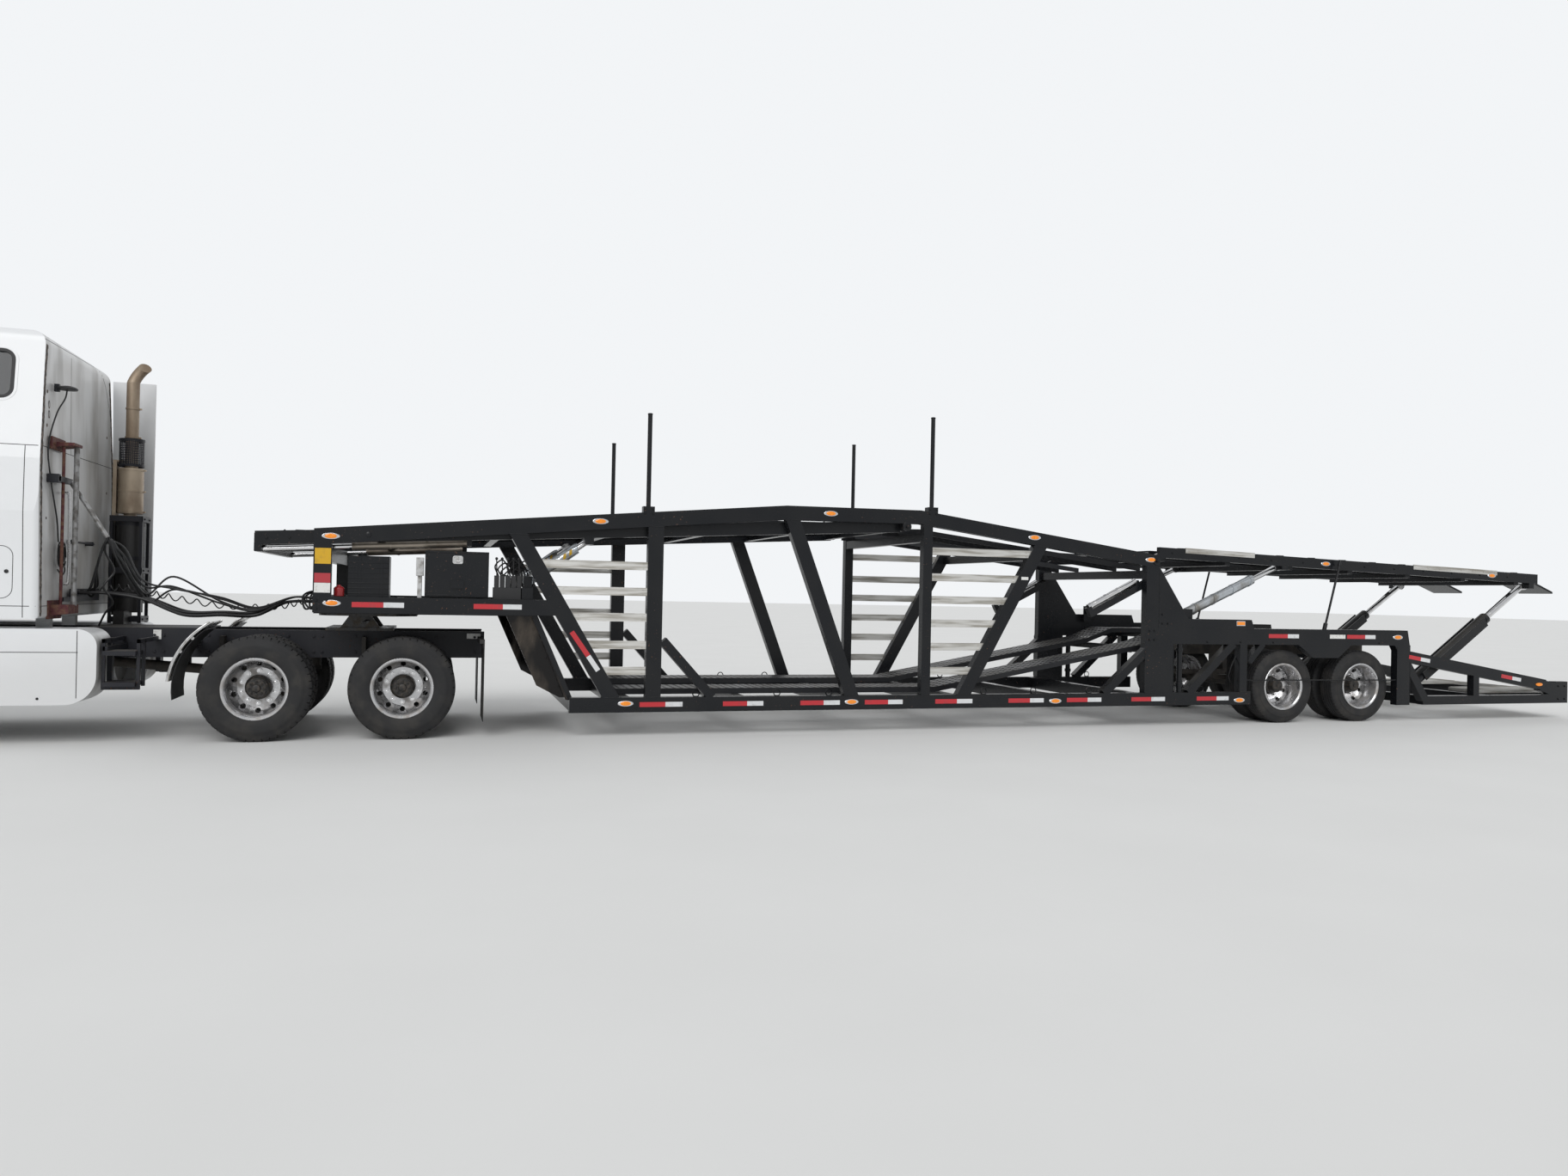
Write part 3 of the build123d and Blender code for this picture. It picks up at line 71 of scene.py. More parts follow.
focal_px, photo_width = 1267.1, 1824
yaw, pitch, roll = (math.radians(angle) for angle in (17.55, 0.33, 1.19))
ahead = Vector((math.sin(yaw) * math.cos(pitch), math.cos(yaw) * math.cos(pitch), math.sin(pitch)))
level = Vector((math.cos(yaw), -math.sin(yaw), 0))
over = level.cross(ahead)
camera = bpy.data.objects.new("Camera", bpy.data.cameras.new("Camera"))
bpy.context.scene.collection.objects.link(camera)
camera.data.sensor_width = 36
camera.data.lens = 36 * focal_px / photo_width
camera.data.clip_end = 400
camera.matrix_world = Matrix.Translation((axle_x + 0.33, -12.56, 1.51)) @ Matrix((
    math.cos(roll) * level + math.sin(roll) * over,
    math.cos(roll) * over - math.sin(roll) * level, -ahead)).transposed().to_4x4()
bpy.context.scene.camera = camera
bpy.context.scene.view_settings.view_transform = "Standard"


# Ground and light: a pale studio floor, a pale surround and one broad soft lamp with a weak
# second one from the other side.

class Wire:
    """A socket of a finish, on which sums are written as Python expressions."""

    def __init__(self, finish, socket):
        self.finish, self.socket = finish, socket

    def sum(self, operation, first, second):
        return self.finish.node("ShaderNodeMath", {"operation": operation}, {0: first, 1: second})

    def __add__(self, other):
        return self.sum("ADD", self, other)

    def __sub__(self, other):
        return self.sum("SUBTRACT", self, other)

    def __rsub__(self, other):
        return self.sum("SUBTRACT", other, self)

    def __mul__(self, other):
        return self.sum("MULTIPLY", self, other)

    __radd__, __rmul__ = __add__, __mul__


class Finish:
    """A material and the nodes that it is made of."""

    def __init__(self, name, colour, roughness, metallic=0.0, **constants):
        self.material = bpy.data.materials.new(name)
        self.material.use_nodes = True
        self.tree = self.material.node_tree
        self.shader = self.tree.nodes["Principled BSDF"]
        self.set(Base_Color=colour, Roughness=roughness, Metallic=metallic, **constants)

    def fill(self, socket, value):
        """Links a wire to a socket or writes a value in it; a colour may leave out its alpha."""
        if isinstance(value, Wire):
            self.tree.links.new(value.socket, socket)
        elif socket.type == "RGBA":
            socket.default_value = (*value[:3], 1)
        else:
            socket.default_value = value

    def set(self, **sockets):
        """Fills sockets of the shader, their names with _ for a space."""
        for name, value in sockets.items():
            self.fill(self.shader.inputs[name.replace("_", " ")], value)
        return self

    def node(self, kind, settings, sockets, output=0):
        """Any other node: its settings first, then its sockets."""
        made = self.tree.nodes.new(kind)
        for name, value in settings.items():
            setattr(made, name, value)
        for key, value in sockets.items():
            self.fill(made.inputs[key], value)
        return Wire(self, made.outputs[output])

    def place(self, stretch=(1, 1, 1)):
        """Where a point is in the truck's frame, stretched along each axis."""
        where = self.node("ShaderNodeTexCoord", {}, {}, "Object")
        return self.node("ShaderNodeVectorMath", {"operation": "MULTIPLY"}, {0: where, 1: stretch})

    def noise(self, scale, detail=3.0, stretch=(1, 1, 1)):
        """Cloudy variation around a half, with scale patches to the metre."""
        return self.node("ShaderNodeTexNoise", {"noise_dimensions": "3D"},
                         {"Vector": self.place(stretch), "Scale": scale, "Detail": detail}, 0)

    def step(self, value, low, high):
        """0 below low, 1 above high, with a smooth rise between."""
        return self.node("ShaderNodeMapRange", {"interpolation_type": "SMOOTHSTEP"},
                         {0: value, 1: low, 2: high})

    def part_of(self, vector, name):
        """The X, Y or Z of a vector."""
        return self.node("ShaderNodeSeparateXYZ", {}, {0: vector}, name)

    def facing(self, name):
        """X, Y or Z of the surface's direction."""
        return self.part_of(self.node("ShaderNodeNewGeometry", {}, {}, "Normal"), name)

    def mix(self, share, first, second):
        """A colour that goes from first to second as share goes from 0 to 1."""
        return self.node("ShaderNodeMix", {"data_type": "RGBA"}, {0: share, 6: first, 7: second}, 2)

    def bump(self, height, distance):
        """Relief of a depth in metres."""
        return self.set(Normal=self.node("ShaderNodeBump", {}, {
            "Height": height, "Distance": distance}))


def world_glow(colour, strength):
    """The surround: an even soft sky, and a plain pale background where it is seen or mirrored."""
    world = bpy.data.worlds.new("Surround")
    bpy.context.scene.world = world
    world.use_nodes = True
    tree = world.node_tree
    background = tree.nodes["Background"]
    path = tree.nodes.new("ShaderNodeLightPath")
    seen = tree.nodes.new("ShaderNodeMath")
    seen.operation = "MAXIMUM"
    tree.links.new(path.outputs["Is Camera Ray"], seen.inputs[0])
    tree.links.new(path.outputs["Is Transmission Ray"], seen.inputs[1])
    pale = tree.nodes.new("ShaderNodeMix")
    tree.links.new(seen.outputs[0], pale.inputs[0])
    pale.inputs[2].default_value = strength
    pale.inputs[3].default_value = 0.93
    tree.links.new(pale.outputs[0], background.inputs["Strength"])
    background.inputs["Color"].default_value = (*colour, 1)


world_glow((0.96, 0.98, 1.0), 0.55)
for lamp_name, strength, turn, spread in (("Key", 1.65, (52, 8, -28), 44), ("Fill", 0.5, (58, 0, 150), 60)):
    lamp = bpy.data.objects.new(lamp_name, bpy.data.lights.new(lamp_name, "SUN"))
    lamp.data.energy = strength
    lamp.data.angle = math.radians(spread)
    lamp.rotation_euler = [math.radians(angle) for angle in turn]
    bpy.context.scene.collection.objects.link(lamp)

ground = Finish("Pale floor", (0.72, 0.72, 0.71), 0.9)
ground.set(Base_Color=ground.mix(ground.noise(0.7, 5), (0.70, 0.70, 0.69), (0.75, 0.75, 0.74)))
floor_reach = 160
floor_mesh = bpy.data.meshes.new("Floor")
floor_corners = ((-1, -1), (1, -1), (1, 1), (-1, 1))
floor_mesh.from_pydata([(x * floor_reach, y * floor_reach, 0) for x, y in floor_corners], [], [(0, 1, 2, 3)])
floor_mesh.materials.append(ground.material)
floor = bpy.data.objects.new("Floor", floor_mesh)
bpy.context.scene.collection.objects.link(floor)


# Tractor frame: two pressed steel channels with cross members, sprayed black and greyed by road
# dust. Rows of flanged bolts hold the cross members to the channels' webs.

def wear(finish, *nodes):
    """Gives CAD nodes their finish."""
    for name in nodes:
        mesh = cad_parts[name].data
        mesh.materials.clear()
        mesh.materials.append(finish.material)


class Form:
    """Plate, bar, tube and turned stock that make one mesh, in metres. X is measured from the
    rear drive axle towards the tail, Y from the middle and Z from the ground."""

    def __init__(self):
        self.mesh = bmesh.new()
        self.paint = 0          # which of the piece's finishes the next faces take

    def loft(self, rings, caps=True, round_trip=True, back_to_start=False):
        """Faces between neighbouring rings of as many points, and over the ends."""
        loops = [[self.mesh.verts.new(point) for point in ring] for ring in rings]
        pairs = list(zip(loops, loops[1:])) + ([(loops[-1], loops[0])] if back_to_start else [])
        size = len(loops[0])
        for first, second in pairs:
            for i in range(size if round_trip else size - 1):
                j = (i + 1) % size
                self.face((first[i], first[j], second[j], second[i]))
        if caps and not back_to_start:
            self.face(loops[0][::-1])
            self.face(loops[-1])

    def face(self, corners):
        made = self.mesh.faces.new(corners)
        made.material_index = self.paint

    def prism(self, outline, y_from, y_to):
        """A plate with its outline in X and Z, carried across."""
        self.loft([[(x, y, z) for x, z in outline] for y in (y_from, y_to)])

    def box(self, x_from, x_to, y_from, y_to, z_from, z_to):
        self.prism(((x_from, z_from), (x_to, z_from), (x_to, z_to), (x_from, z_to)), y_from, y_to)

    def bar(self, start, end, depth, y_from, y_to):
        """A flat bar seen from the side, start and end in X and Z."""
        run = Vector((end[0] - start[0], end[1] - start[1])).normalized()
        nx, nz = -run.y * depth / 2, run.x * depth / 2
        self.prism(((start[0] - nx, start[1] - nz), (end[0] - nx, end[1] - nz),
                    (end[0] + nx, end[1] + nz), (start[0] + nx, start[1] + nz)), y_from, y_to)

    def tube(self, path, radius, sides=12):
        """A round bar through the points of a path."""
        points = [Vector(p) for p in path]
        runs = [(b - a).normalized() for a, b in zip(points, points[1:])]
        guide = Vector((0, 0, 1)) if abs(runs[0].z) < 0.9 else Vector((1, 0, 0))
        rings = []
        for i, point in enumerate(points):
            before, after = runs[max(i - 1, 0)], runs[min(i, len(runs) - 1)]
            way = (before + after).normalized()
            side = way.cross(guide).normalized()
            guide = side.cross(way)
            size = radius[i] if isinstance(radius, (list, tuple)) else radius
            rings.append([point + size * (math.cos(a) * side + math.sin(a) * guide)
                          for a in (math.tau * k / sides for k in range(sides))])
        self.loft(rings)

    def turned(self, profile, centre, way, sides=32, closed=False):
        """Turned stock: profile gives how far out along way, and the radius there."""
        way = Vector(way).normalized()
        guide = Vector((0, 0, 1)) if abs(way.z) < 0.9 else Vector((1, 0, 0))
        side = way.cross(guide).normalized()
        rings = [[Vector(centre) + out * way + radius * (math.cos(a) * side + math.sin(a) * guide)
                  for a in (math.tau * k / sides for k in range(sides))] for out, radius in profile]
        self.loft(rings, caps=not closed, back_to_start=closed)

    def bolt(self, centre, way, size=0.028, tall=0.012):
        """A hexagon head on its washer."""
        self.turned(((0, size * 0.72), (0.003, size * 0.72)), centre, way, 16)
        foot = Vector(centre) + 0.003 * Vector(way)
        self.turned(((0, size / 2), (tall * 0.8, size / 2), (tall, size * 0.42)), foot, way, 6)

    def piece(self, name, finishes, body, bevel=0.0, sharp=35):
        """Makes the mesh a piece of the truck that rides on a body."""
        bmesh.ops.translate(self.mesh, verts=self.mesh.verts, vec=(axle_x, 0, 0))
        bmesh.ops.recalc_face_normals(self.mesh, faces=self.mesh.faces)
        data = bpy.data.meshes.new(name)
        self.mesh.to_mesh(data)
        self.mesh.free()
        for finish in finishes if isinstance(finishes, (list, tuple)) else [finishes]:
            data.materials.append(finish.material)
        data.polygons.foreach_set("use_smooth", [True] * len(data.polygons))
        data.set_sharp_from_angle(angle=math.radians(sharp))
        made = bpy.data.objects.new(name, data)
        bpy.context.scene.collection.objects.link(made)
        if bevel:
            rounded = made.modifiers.new("Edges", "BEVEL")
            rounded.width, rounded.segments, rounded.limit_method = bevel, 2, "ANGLE"
            rounded.angle_limit = math.radians(40)
        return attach(made, body) if body else made


def chassis_paint(name, colour, dust, roughness=0.42):
    """Black chassis paint with dust on what faces up and small rust specks."""
    paint = Finish(name, colour, roughness, Specular_IOR_Level=0.32)
    cloud = paint.noise(2.3, 6)
    lying = paint.step(paint.facing("Z"), 0.3, 0.95)
    dusty = (lying * 0.42 + 0.05) * paint.step(cloud, 0.3, 0.72)
    specks = paint.step(paint.noise(38, 4), 0.66, 0.74) * paint.step(paint.noise(1.4, 2), 0.45, 0.65)
    worn = paint.mix(specks * 0.8, paint.mix(dusty, colour, dust), (0.13, 0.055, 0.025))
    paint.set(Base_Color=worn, Roughness=dusty * 0.35 + specks * 0.3 + roughness)
    return paint.bump(paint.noise(160, 2) * 0.4 + specks, 0.0015)


chassis = chassis_paint("Chassis paint", (0.012, 0.013, 0.018), (0.15, 0.135, 0.115))
wear(chassis, "tractor_frame")
grime = Finish("Cast iron under grime", (0.05, 0.045, 0.04), 0.75)
crust = grime.noise(9, 8)
grime.set(Base_Color=grime.mix(grime.step(crust, 0.3, 0.75), (0.026, 0.024, 0.022), (0.075, 0.066, 0.056)),
          Roughness=crust * 0.4 + 0.5)
grime.bump(crust + grime.noise(90, 2) * 0.4, 0.004)
wear(grime, "engine_block", "drive_axles", "steer_axle", "knuckle_left", "knuckle_right")

rail_y, rail_low, rail_high = 0.43, 0.76, 1.04
fasteners = Form()
for side in (-1, 1):
    for x in (-2.3, -1.9, -1.171, -0.85, -0.45, 0.0, 0.35, 0.74):
        for dx in (-0.04, 0.04):
            for z in (rail_low + 0.06, rail_high - 0.06):
                fasteners.bolt((x + dx, side * rail_y, z), (0, side, 0))
fasteners.piece("rail_bolts", chassis, "tractor")


# Tyres: black rubber with moulded treads. The drive tyres have lugged treads, the steering and
# trailer tyres straight ribs with notched shoulders.

rubber = Finish("Tyre rubber", (0.02, 0.02, 0.02), 0.8)
sooty = rubber.noise(6, 6)
dusted = rubber.step(sooty, 0.4, 0.75) * 0.4
rubber.set(Base_Color=rubber.mix(dusted, (0.011, 0.011, 0.012), (0.062, 0.056, 0.048)),
           Roughness=sooty * 0.25 + 0.62)
rubber.bump(rubber.noise(240, 2), 0.0008)

bead_r = 0.285
groove_depth, groove_wide = 0.013, 0.011


def tread(form, centre, radius, half, pitches, lugged):
    """One tyre: ribs between four grooves, cut across by slots in every pitch."""
    shoulder = half - 0.036
    wall = ((bead_r, half - 0.030), (bead_r + 0.012, half - 0.018), (bead_r + 0.034, half - 0.007),
            (bead_r + 0.066, half - 0.001), ((bead_r + radius) / 2 + 0.010, half),
            (radius - 0.078, half - 0.003), (radius - 0.074, half - 0.006), (radius - 0.048, half - 0.011),
            (radius - 0.028, half - 0.019))
    section = [(r, w, "wall") for r, w in wall] + [(radius - 0.005, shoulder, "shoulder")]
    for place in (0.63, 0.21, -0.21, -0.63):
        middle, rib = shoulder * place, "shoulder" if place > 0.6 else "middle"
        after = "shoulder" if place < -0.6 else "middle"
        section += [(radius, middle + groove_wide / 2, rib),
                    (radius - groove_depth, middle + groove_wide / 2 - 0.002, "floor"),
                    (radius - groove_depth, middle - groove_wide / 2 + 0.002, "floor"),
                    (radius, middle - groove_wide / 2, after)]
    section += [(radius - 0.005, -shoulder, "shoulder")] + [(r, -w, "wall") for r, w in reversed(wall)]
    slot_depth = {"shoulder": 0.012 if lugged else 0.006, "middle": 0.010 if lugged else 0.0}
    steps = ((0.0, "shoulder"), (0.10, "shoulder"), (0.14, ""), (0.46, ""),
             (0.50, "middle"), (0.60, "middle"), (0.64, ""), (0.96, ""))
    if not lugged:
        steps = ((0.0, "shoulder"), (0.12, "shoulder"), (0.18, ""), (0.94, ""))
    rings = []
    for pitch in range(pitches):
        for share, low in steps:
            angle = math.tau * (pitch + share) / pitches
            ring = []
            for r, w, part in section:
                r -= slot_depth[part] if part == low else 0
                ring.append((centre[0] + r * math.cos(angle), centre[1] + w, centre[2] + r * math.sin(angle)))
            rings.append(ring)
    form.loft(rings, back_to_start=True)


drive_tyre, trailer_tyre, steer_tyre = (0.505, 0.1375), (0.465, 0.1275), (0.505, 0.1425)
axle_places = {         # tyre's radius and half width, the tyres' places across, lugged tread
    "front_drive": (drive_tyre, (1.085, 0.740), True),
    "rear_drive": (drive_tyre, (1.085, 0.740), True),
    "front_trailer": (trailer_tyre, (1.115, 0.800), False),
    "rear_trailer": (trailer_tyre, (1.115, 0.800), False),
}
steer_y = 1.040
hands = (("left", -1), ("right", 1))
for hand, side in hands:
    for axle, ((radius, half), places, lugged) in axle_places.items():
        rings = Form()
        for y in places:
            tread(rings, (behind_axle(f"{axle}_tyres_{hand}"), side * y, radius), radius, half,
                  44 if lugged else 60, lugged)
        made = rings.piece(f"{axle}_treads_{hand}", rubber, f"{axle}_wheels_{hand}")
        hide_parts(f"{axle}_tyres_{hand}")
    rings = Form()
    tread(rings, (behind_axle(f"steer_tyre_{hand}"), side * steer_y, steer_tyre[0]), *steer_tyre, 60, False)
    made = rings.piece(f"steer_tread_{hand}", rubber, f"steer_wheel_{hand}")
    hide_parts(f"steer_tyre_{hand}")


# Wheels: forged aluminium discs with ten hand holes and ten flanged nuts. Two stand back to back
# on each driven and trailer hub, whose iron is dark with oil and brake dust.

alloy = Finish("Forged aluminium", (0.74, 0.74, 0.75), 0.3, 0.85)
brake_dust = alloy.step(alloy.noise(9, 6), 0.42, 0.72)
alloy.set(Base_Color=alloy.mix(brake_dust * 0.7, (0.62, 0.62, 0.63), (0.24, 0.21, 0.18)),
          Roughness=brake_dust * 0.35 + 0.22, Metallic=0.9 - brake_dust * 0.4)
alloy.bump(alloy.noise(120, 2), 0.0006)
bright = Finish("Chromed steel", (0.80, 0.80, 0.81), 0.12, 1.0)
darkened_share = bright.step(bright.noise(14, 4), 0.4, 0.8)
bright.set(Base_Color=bright.mix(darkened_share * 0.35, (0.82, 0.82, 0.83), (0.50, 0.47, 0.43)),
           Roughness=darkened_share * 0.25 + 0.1)
oily = Finish("Oily hub iron", (0.035, 0.03, 0.027), 0.45)
sludge = oily.noise(30, 5)
oily.set(Base_Color=oily.mix(oily.step(sludge, 0.4, 0.7), (0.013, 0.012, 0.011), (0.055, 0.044, 0.034)),
         Roughness=sludge * 0.4 + 0.25)
oily.bump(sludge, 0.003)

rim_edge, rim_lip, flange_r = 0.1235, 0.112, 0.298
hole_ring, hole_r, hole_count = 0.2255, 0.0255, 10
disc_wall = 0.013


def rim(form, x, z, y, out):
    """The barrel and its flanges; out is which way along Y the wheel looks."""
    profile = ((rim_lip, flange_r), (rim_lip - 0.004, bead_r - 0.0005), (-rim_lip + 0.004, bead_r - 0.0005),
               (-rim_lip, flange_r), (-rim_edge + 0.003, flange_r), (-rim_edge, flange_r - 0.004),
               (-rim_edge + 0.001, 0.280), (-rim_edge + 0.012, 0.268), (-rim_edge + 0.03, 0.264),
               (rim_edge - 0.03, 0.264), (rim_edge - 0.012, 0.268), (rim_edge - 0.001, 0.280),
               (rim_edge, flange_r - 0.004), (rim_edge - 0.003, flange_r))
    form.turned(profile, (x, y, z), (0, out, 0), 72, closed=True)


def disc(form, x, z, y, out, faces):
    """The disc with its hand holes; faces gives its outer face, how far out at each radius."""

    def place(r, angle, back):
        for (r0, d0), (r1, d1) in zip(faces, faces[1:]):
            if r <= r0:
                depth = d0 + (d1 - d0) * (r0 - r) / (r0 - r1)
                if r >= r1:
                    break
        return (x + r * math.cos(angle), y + out * (depth - back), z + r * math.sin(angle))

    inner_r, outer_r, turn = 0.192, 0.2625, math.tau / hole_count
    per_side = 5
    for sector in range(hole_count):
        start = sector * turn
        edge = [(inner_r, start + turn * k / per_side) for k in range(per_side)]
        edge += [(inner_r + (outer_r - inner_r) * k / per_side, start + turn) for k in range(per_side)]
        edge += [(outer_r, start + turn - turn * k / per_side) for k in range(per_side)]
        edge += [(outer_r - (outer_r - inner_r) * k / per_side, start) for k in range(per_side)]
        count = len(edge)
        hole = []
        for r, angle in edge:
            way = math.atan2((angle - start - turn / 2) * hole_ring, r - hole_ring)
            hole.append((hole_ring + hole_r * math.cos(way),
                         start + turn / 2 + hole_r * math.sin(way) / hole_ring))
        form.loft([[place(r, a, back) for r, a in ring] for ring, back in
                   ((edge, 0), (hole, 0), (hole, disc_wall), (edge, disc_wall))], caps=False)
        seat = [[(r, start + turn * k / per_side) for k in range(per_side + 1)]
                for r in (inner_r, faces[-1][0])]
        for back in (0, disc_wall):
            rows = [[place(r, a, back) for r, a in row] for row in seat]
            form.loft(rows, caps=False, round_trip=False)


def hex_nut(form, x, z, y, out, r, angle, size, tall):
    """A flanged nut with its stud's end."""
    foot = (x + r * math.cos(angle), y, z + r * math.sin(angle))
    form.turned(((0, size * 0.72), (0.005, size * 0.70), (0.006, size / 2)), foot, (0, out, 0), 18)
    form.turned(((0.005, size * 0.56), (tall - 0.003, size * 0.56), (tall, size * 0.48)),
                foot, (0, out, 0), 6)
    form.turned(((tall - 0.001, size * 0.28), (tall + 0.009, size * 0.28), (tall + 0.010, size * 0.2)),
                foot, (0, out, 0), 12)


def wheel(name, hand, body, stands_for, x, z, y_tyre, out, faces, inner_y, hub_profile, studs):
    """One side's wheel or pair of wheels, with the hub that fills its middle."""
    form = Form()
    rim(form, x, z, y_tyre, out)
    disc(form, x, z, y_tyre, out, faces)
    if inner_y:
        rim(form, x, z, inner_y, out)
        back = ((0.2625, 0.09), (0.24, 0.125), (0.20, 0.150), (0.125, 0.1585))
        disc(form, x, z, inner_y, out, back)
    face_y = y_tyre + out * faces[-1][1]
    form.paint = 1
    for k in range(10):
        hex_nut(form, x, z, face_y, out, 0.1575, math.tau * (k + 0.5) / 10, 0.033, 0.026)
    valve_y = y_tyre + out * (faces[0][1] + 0.004)
    form.tube(((x + 0.235, valve_y, z), (x + 0.222, valve_y + out * 0.05, z),
               (x + 0.216, valve_y + out * 0.075, z)), 0.0045, 8)
    form.paint = 2
    form.turned(hub_profile, (x, face_y, z), (0, out, 0), 48)
    reach = max(depth for depth, _ in hub_profile)
    for k in range(studs):
        hex_nut(form, x, z, face_y + out * (reach - 0.016), out, 0.064, math.tau * k / studs, 0.019, 0.009)
    made = form.piece(f"{name}_{hand}", (alloy, bright, oily), body, sharp=32)
    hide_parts(stands_for)


dual_faces = ((0.2625, -0.088), (0.25, -0.112), (0.235, -0.128), (0.20, -0.148), (0.185, -0.1535),
              (0.120, -0.1545))
steer_faces = ((0.2625, 0.105), (0.25, 0.128), (0.235, 0.142), (0.20, 0.163), (0.185, 0.170),
               (0.120, 0.171))
drive_hub = ((-0.01, 0.119), (0.045, 0.119), (0.052, 0.112), (0.060, 0.098), (0.125, 0.090), (0.130, 0.094),
             (0.146, 0.094), (0.150, 0.088), (0.168, 0.086), (0.170, 0.040), (0.186, 0.034), (0.190, 0.020))
trailer_hub = ((-0.01, 0.119), (0.040, 0.119), (0.050, 0.106), (0.085, 0.100), (0.090, 0.086), (0.158, 0.083),
               (0.172, 0.076), (0.178, 0.060), (0.180, 0.026), (0.186, 0.024), (0.188, 0.015))
steer_hub = ((-0.01, 0.119), (0.020, 0.119), (0.026, 0.100), (0.045, 0.092), (0.060, 0.080), (0.068, 0.050))
for hand, side in hands:
    for axle, ((radius, half), places, lugged) in axle_places.items():
        wheel(f"{axle}_rims", hand, f"{axle}_wheels_{hand}", f"{axle}_wheels_{hand}",
              behind_axle(f"{axle}_tyres_{hand}"), radius, side * places[0], side, dual_faces,
              side * places[1], drive_hub if lugged else trailer_hub, 8 if lugged else 0)
    wheel("steer_rim", hand, f"steer_wheel_{hand}", f"steer_wheel_{hand}",
          behind_axle(f"steer_tyre_{hand}"), steer_tyre[0], side * steer_y, side, steer_faces, None,
          steer_hub, 0)


# Cab and sleeper: white painted sheet over a welded frame, carried on mounts above the rails.
# Sealant fills the joints between its panels. Its back wall is painted darker, partly as painted shade and
# partly as exhaust and road film.

class Skin:
    """The surface of a CAD piece, for what lies on it."""

    def __init__(self, node):
        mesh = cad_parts[node].data
        self.tree = BVHTree.FromPolygons([corner.co for corner in mesh.vertices],
                                         [face.vertices for face in mesh.polygons])

    def under(self, start, way):
        """Where something that comes from start along way meets the surface, and its direction."""
        hit, up, _, _ = self.tree.ray_cast(Vector(start) + Vector((axle_x, 0, 0)), Vector(way))
        if hit is None:
            return None
        if up.dot(Vector(way)) > 0:
            up = -up
        return hit - Vector((axle_x, 0, 0)), up

    def path(self, points, way, gap=0.05):
        """The points of an X, Y, Z line, taken every gap metres, brought down on the surface."""
        found = []
        for first, second in zip(points, points[1:]):
            first, second = Vector(first), Vector(second)
            count = max(1, round((second - first).length / gap))
            found += [self.under(first.lerp(second, k / count), way) for k in range(count)]
        found.append(self.under(points[-1], way))
        return [place for place in found if place]


def ribbon(form, path, width, proud, closed=False, ragged=0.0):
    """A flat strip that lies on a surface along a path of points and directions."""
    rings = []
    for i, (point, up) in enumerate(path):
        before = path[i - 1][0] if i or closed else point
        after = path[(i + 1) % len(path)][0] if i + 1 < len(path) or closed else point
        half = (after - before).cross(up).normalized() * width / 2
        left, right = (1 + random.uniform(-ragged, ragged) for _ in range(2))
        rings.append([point - half * left - up * 0.004, point - half * left * 0.9 + up * proud,
                      point + half * right * 0.9 + up * proud, point + half * right - up * 0.004])
    form.loft(rings, caps=not closed, back_to_start=closed)


def rounded(corners, grow=0.0, steps=6):
    """Points round an outline of corners (X, Z, radius), grown outward by grow."""
    turn = sum(a[0] * b[1] - b[0] * a[1] for a, b in zip(corners, corners[1:] + corners[:1]))
    corners = corners if turn > 0 else corners[::-1]
    found = []
    for before, corner, after in zip(corners[-1:] + corners[:-1], corners, corners[1:] + corners[:1]):
        here = Vector(corner[:2])
        into, out = (here - Vector(before[:2])).normalized(), (Vector(after[:2]) - here).normalized()
        bend = into.angle(out)
        across = Vector((into.y + out.y, -into.x - out.x)).normalized()
        tip = here + across * grow / math.cos(bend / 2)
        radius = corner[2] + grow
        reach = radius * math.tan(bend / 2)
        middle = tip - across * radius / math.cos(bend / 2)
        start, end = (tip - into * reach - middle).normalized(), (tip + out * reach - middle).normalized()
        for k in range(steps + 1):
            found.append(tuple(middle + start.slerp(end, k / steps) * radius if bend > 0.02 else tip))
    return found


def around(skin, corners, side, grow, from_y=1.6):
    """An outline of X, Z corners brought down on one side of the truck, closed."""
    points = rounded(corners, grow)
    thick = []
    for first, second in zip(points, points[1:] + points[:1]):
        first, second = Vector(first), Vector(second)
        count = max(1, round((second - first).length / 0.06))
        thick += [first + (second - first) * k / count for k in range(count)]
    places = [skin.under((x, side * from_y, z), (0, -side, 0)) for x, z in thick]
    return [place for place in places if place]


random.seed(4)
white = Finish("White body paint", (0.75, 0.76, 0.77), 0.3, Coat_Weight=0.3, Coat_Roughness=0.1)
# Painted shade: every face that looks towards the tail, the back wall most, is painted darker all over as
# shade, with exhaust streaks and smears on top of it.
rear_shade_and_film = white.step(white.facing("X"), 0.6, 0.95)
streaks = white.step(white.noise(2.4, 6, (1, 1.8, 0.4)), 0.40, 0.66)
smears = white.step(white.noise(1.1, 4, (1, 1, 0.7)), 0.48, 0.62)
road_dust = white.step(white.part_of(white.place(), "Z") + white.noise(1.6, 4) * 0.7, 1.65, 0.85)
# The darkening below adds the back wall's painted shade and stains to road dust on the low panels.
darkened_share = rear_shade_and_film * (streaks * 0.35 + smears * 0.3 + 0.25) + road_dust * 0.22
white.set(Base_Color=white.mix(darkened_share, (0.75, 0.76, 0.77), (0.34, 0.325, 0.30)),
          Roughness=darkened_share * 0.4 + 0.28, Coat_Weight=0.3 - darkened_share * 0.3)
white.bump(white.noise(3.5, 2), 0.004)
wear(white, "cab_shell", "hood_shell", "door_left", "door_right", "fairings")

sealant = Finish("Dark sealant", (0.05, 0.045, 0.04), 0.8)
cracked = sealant.step(sealant.noise(30, 5), 0.4, 0.65)
sealant.set(Base_Color=sealant.mix(cracked, (0.035, 0.03, 0.027), (0.16, 0.125, 0.10)))
gasket = Finish("Black gasket rubber", (0.012, 0.012, 0.013), 0.55)

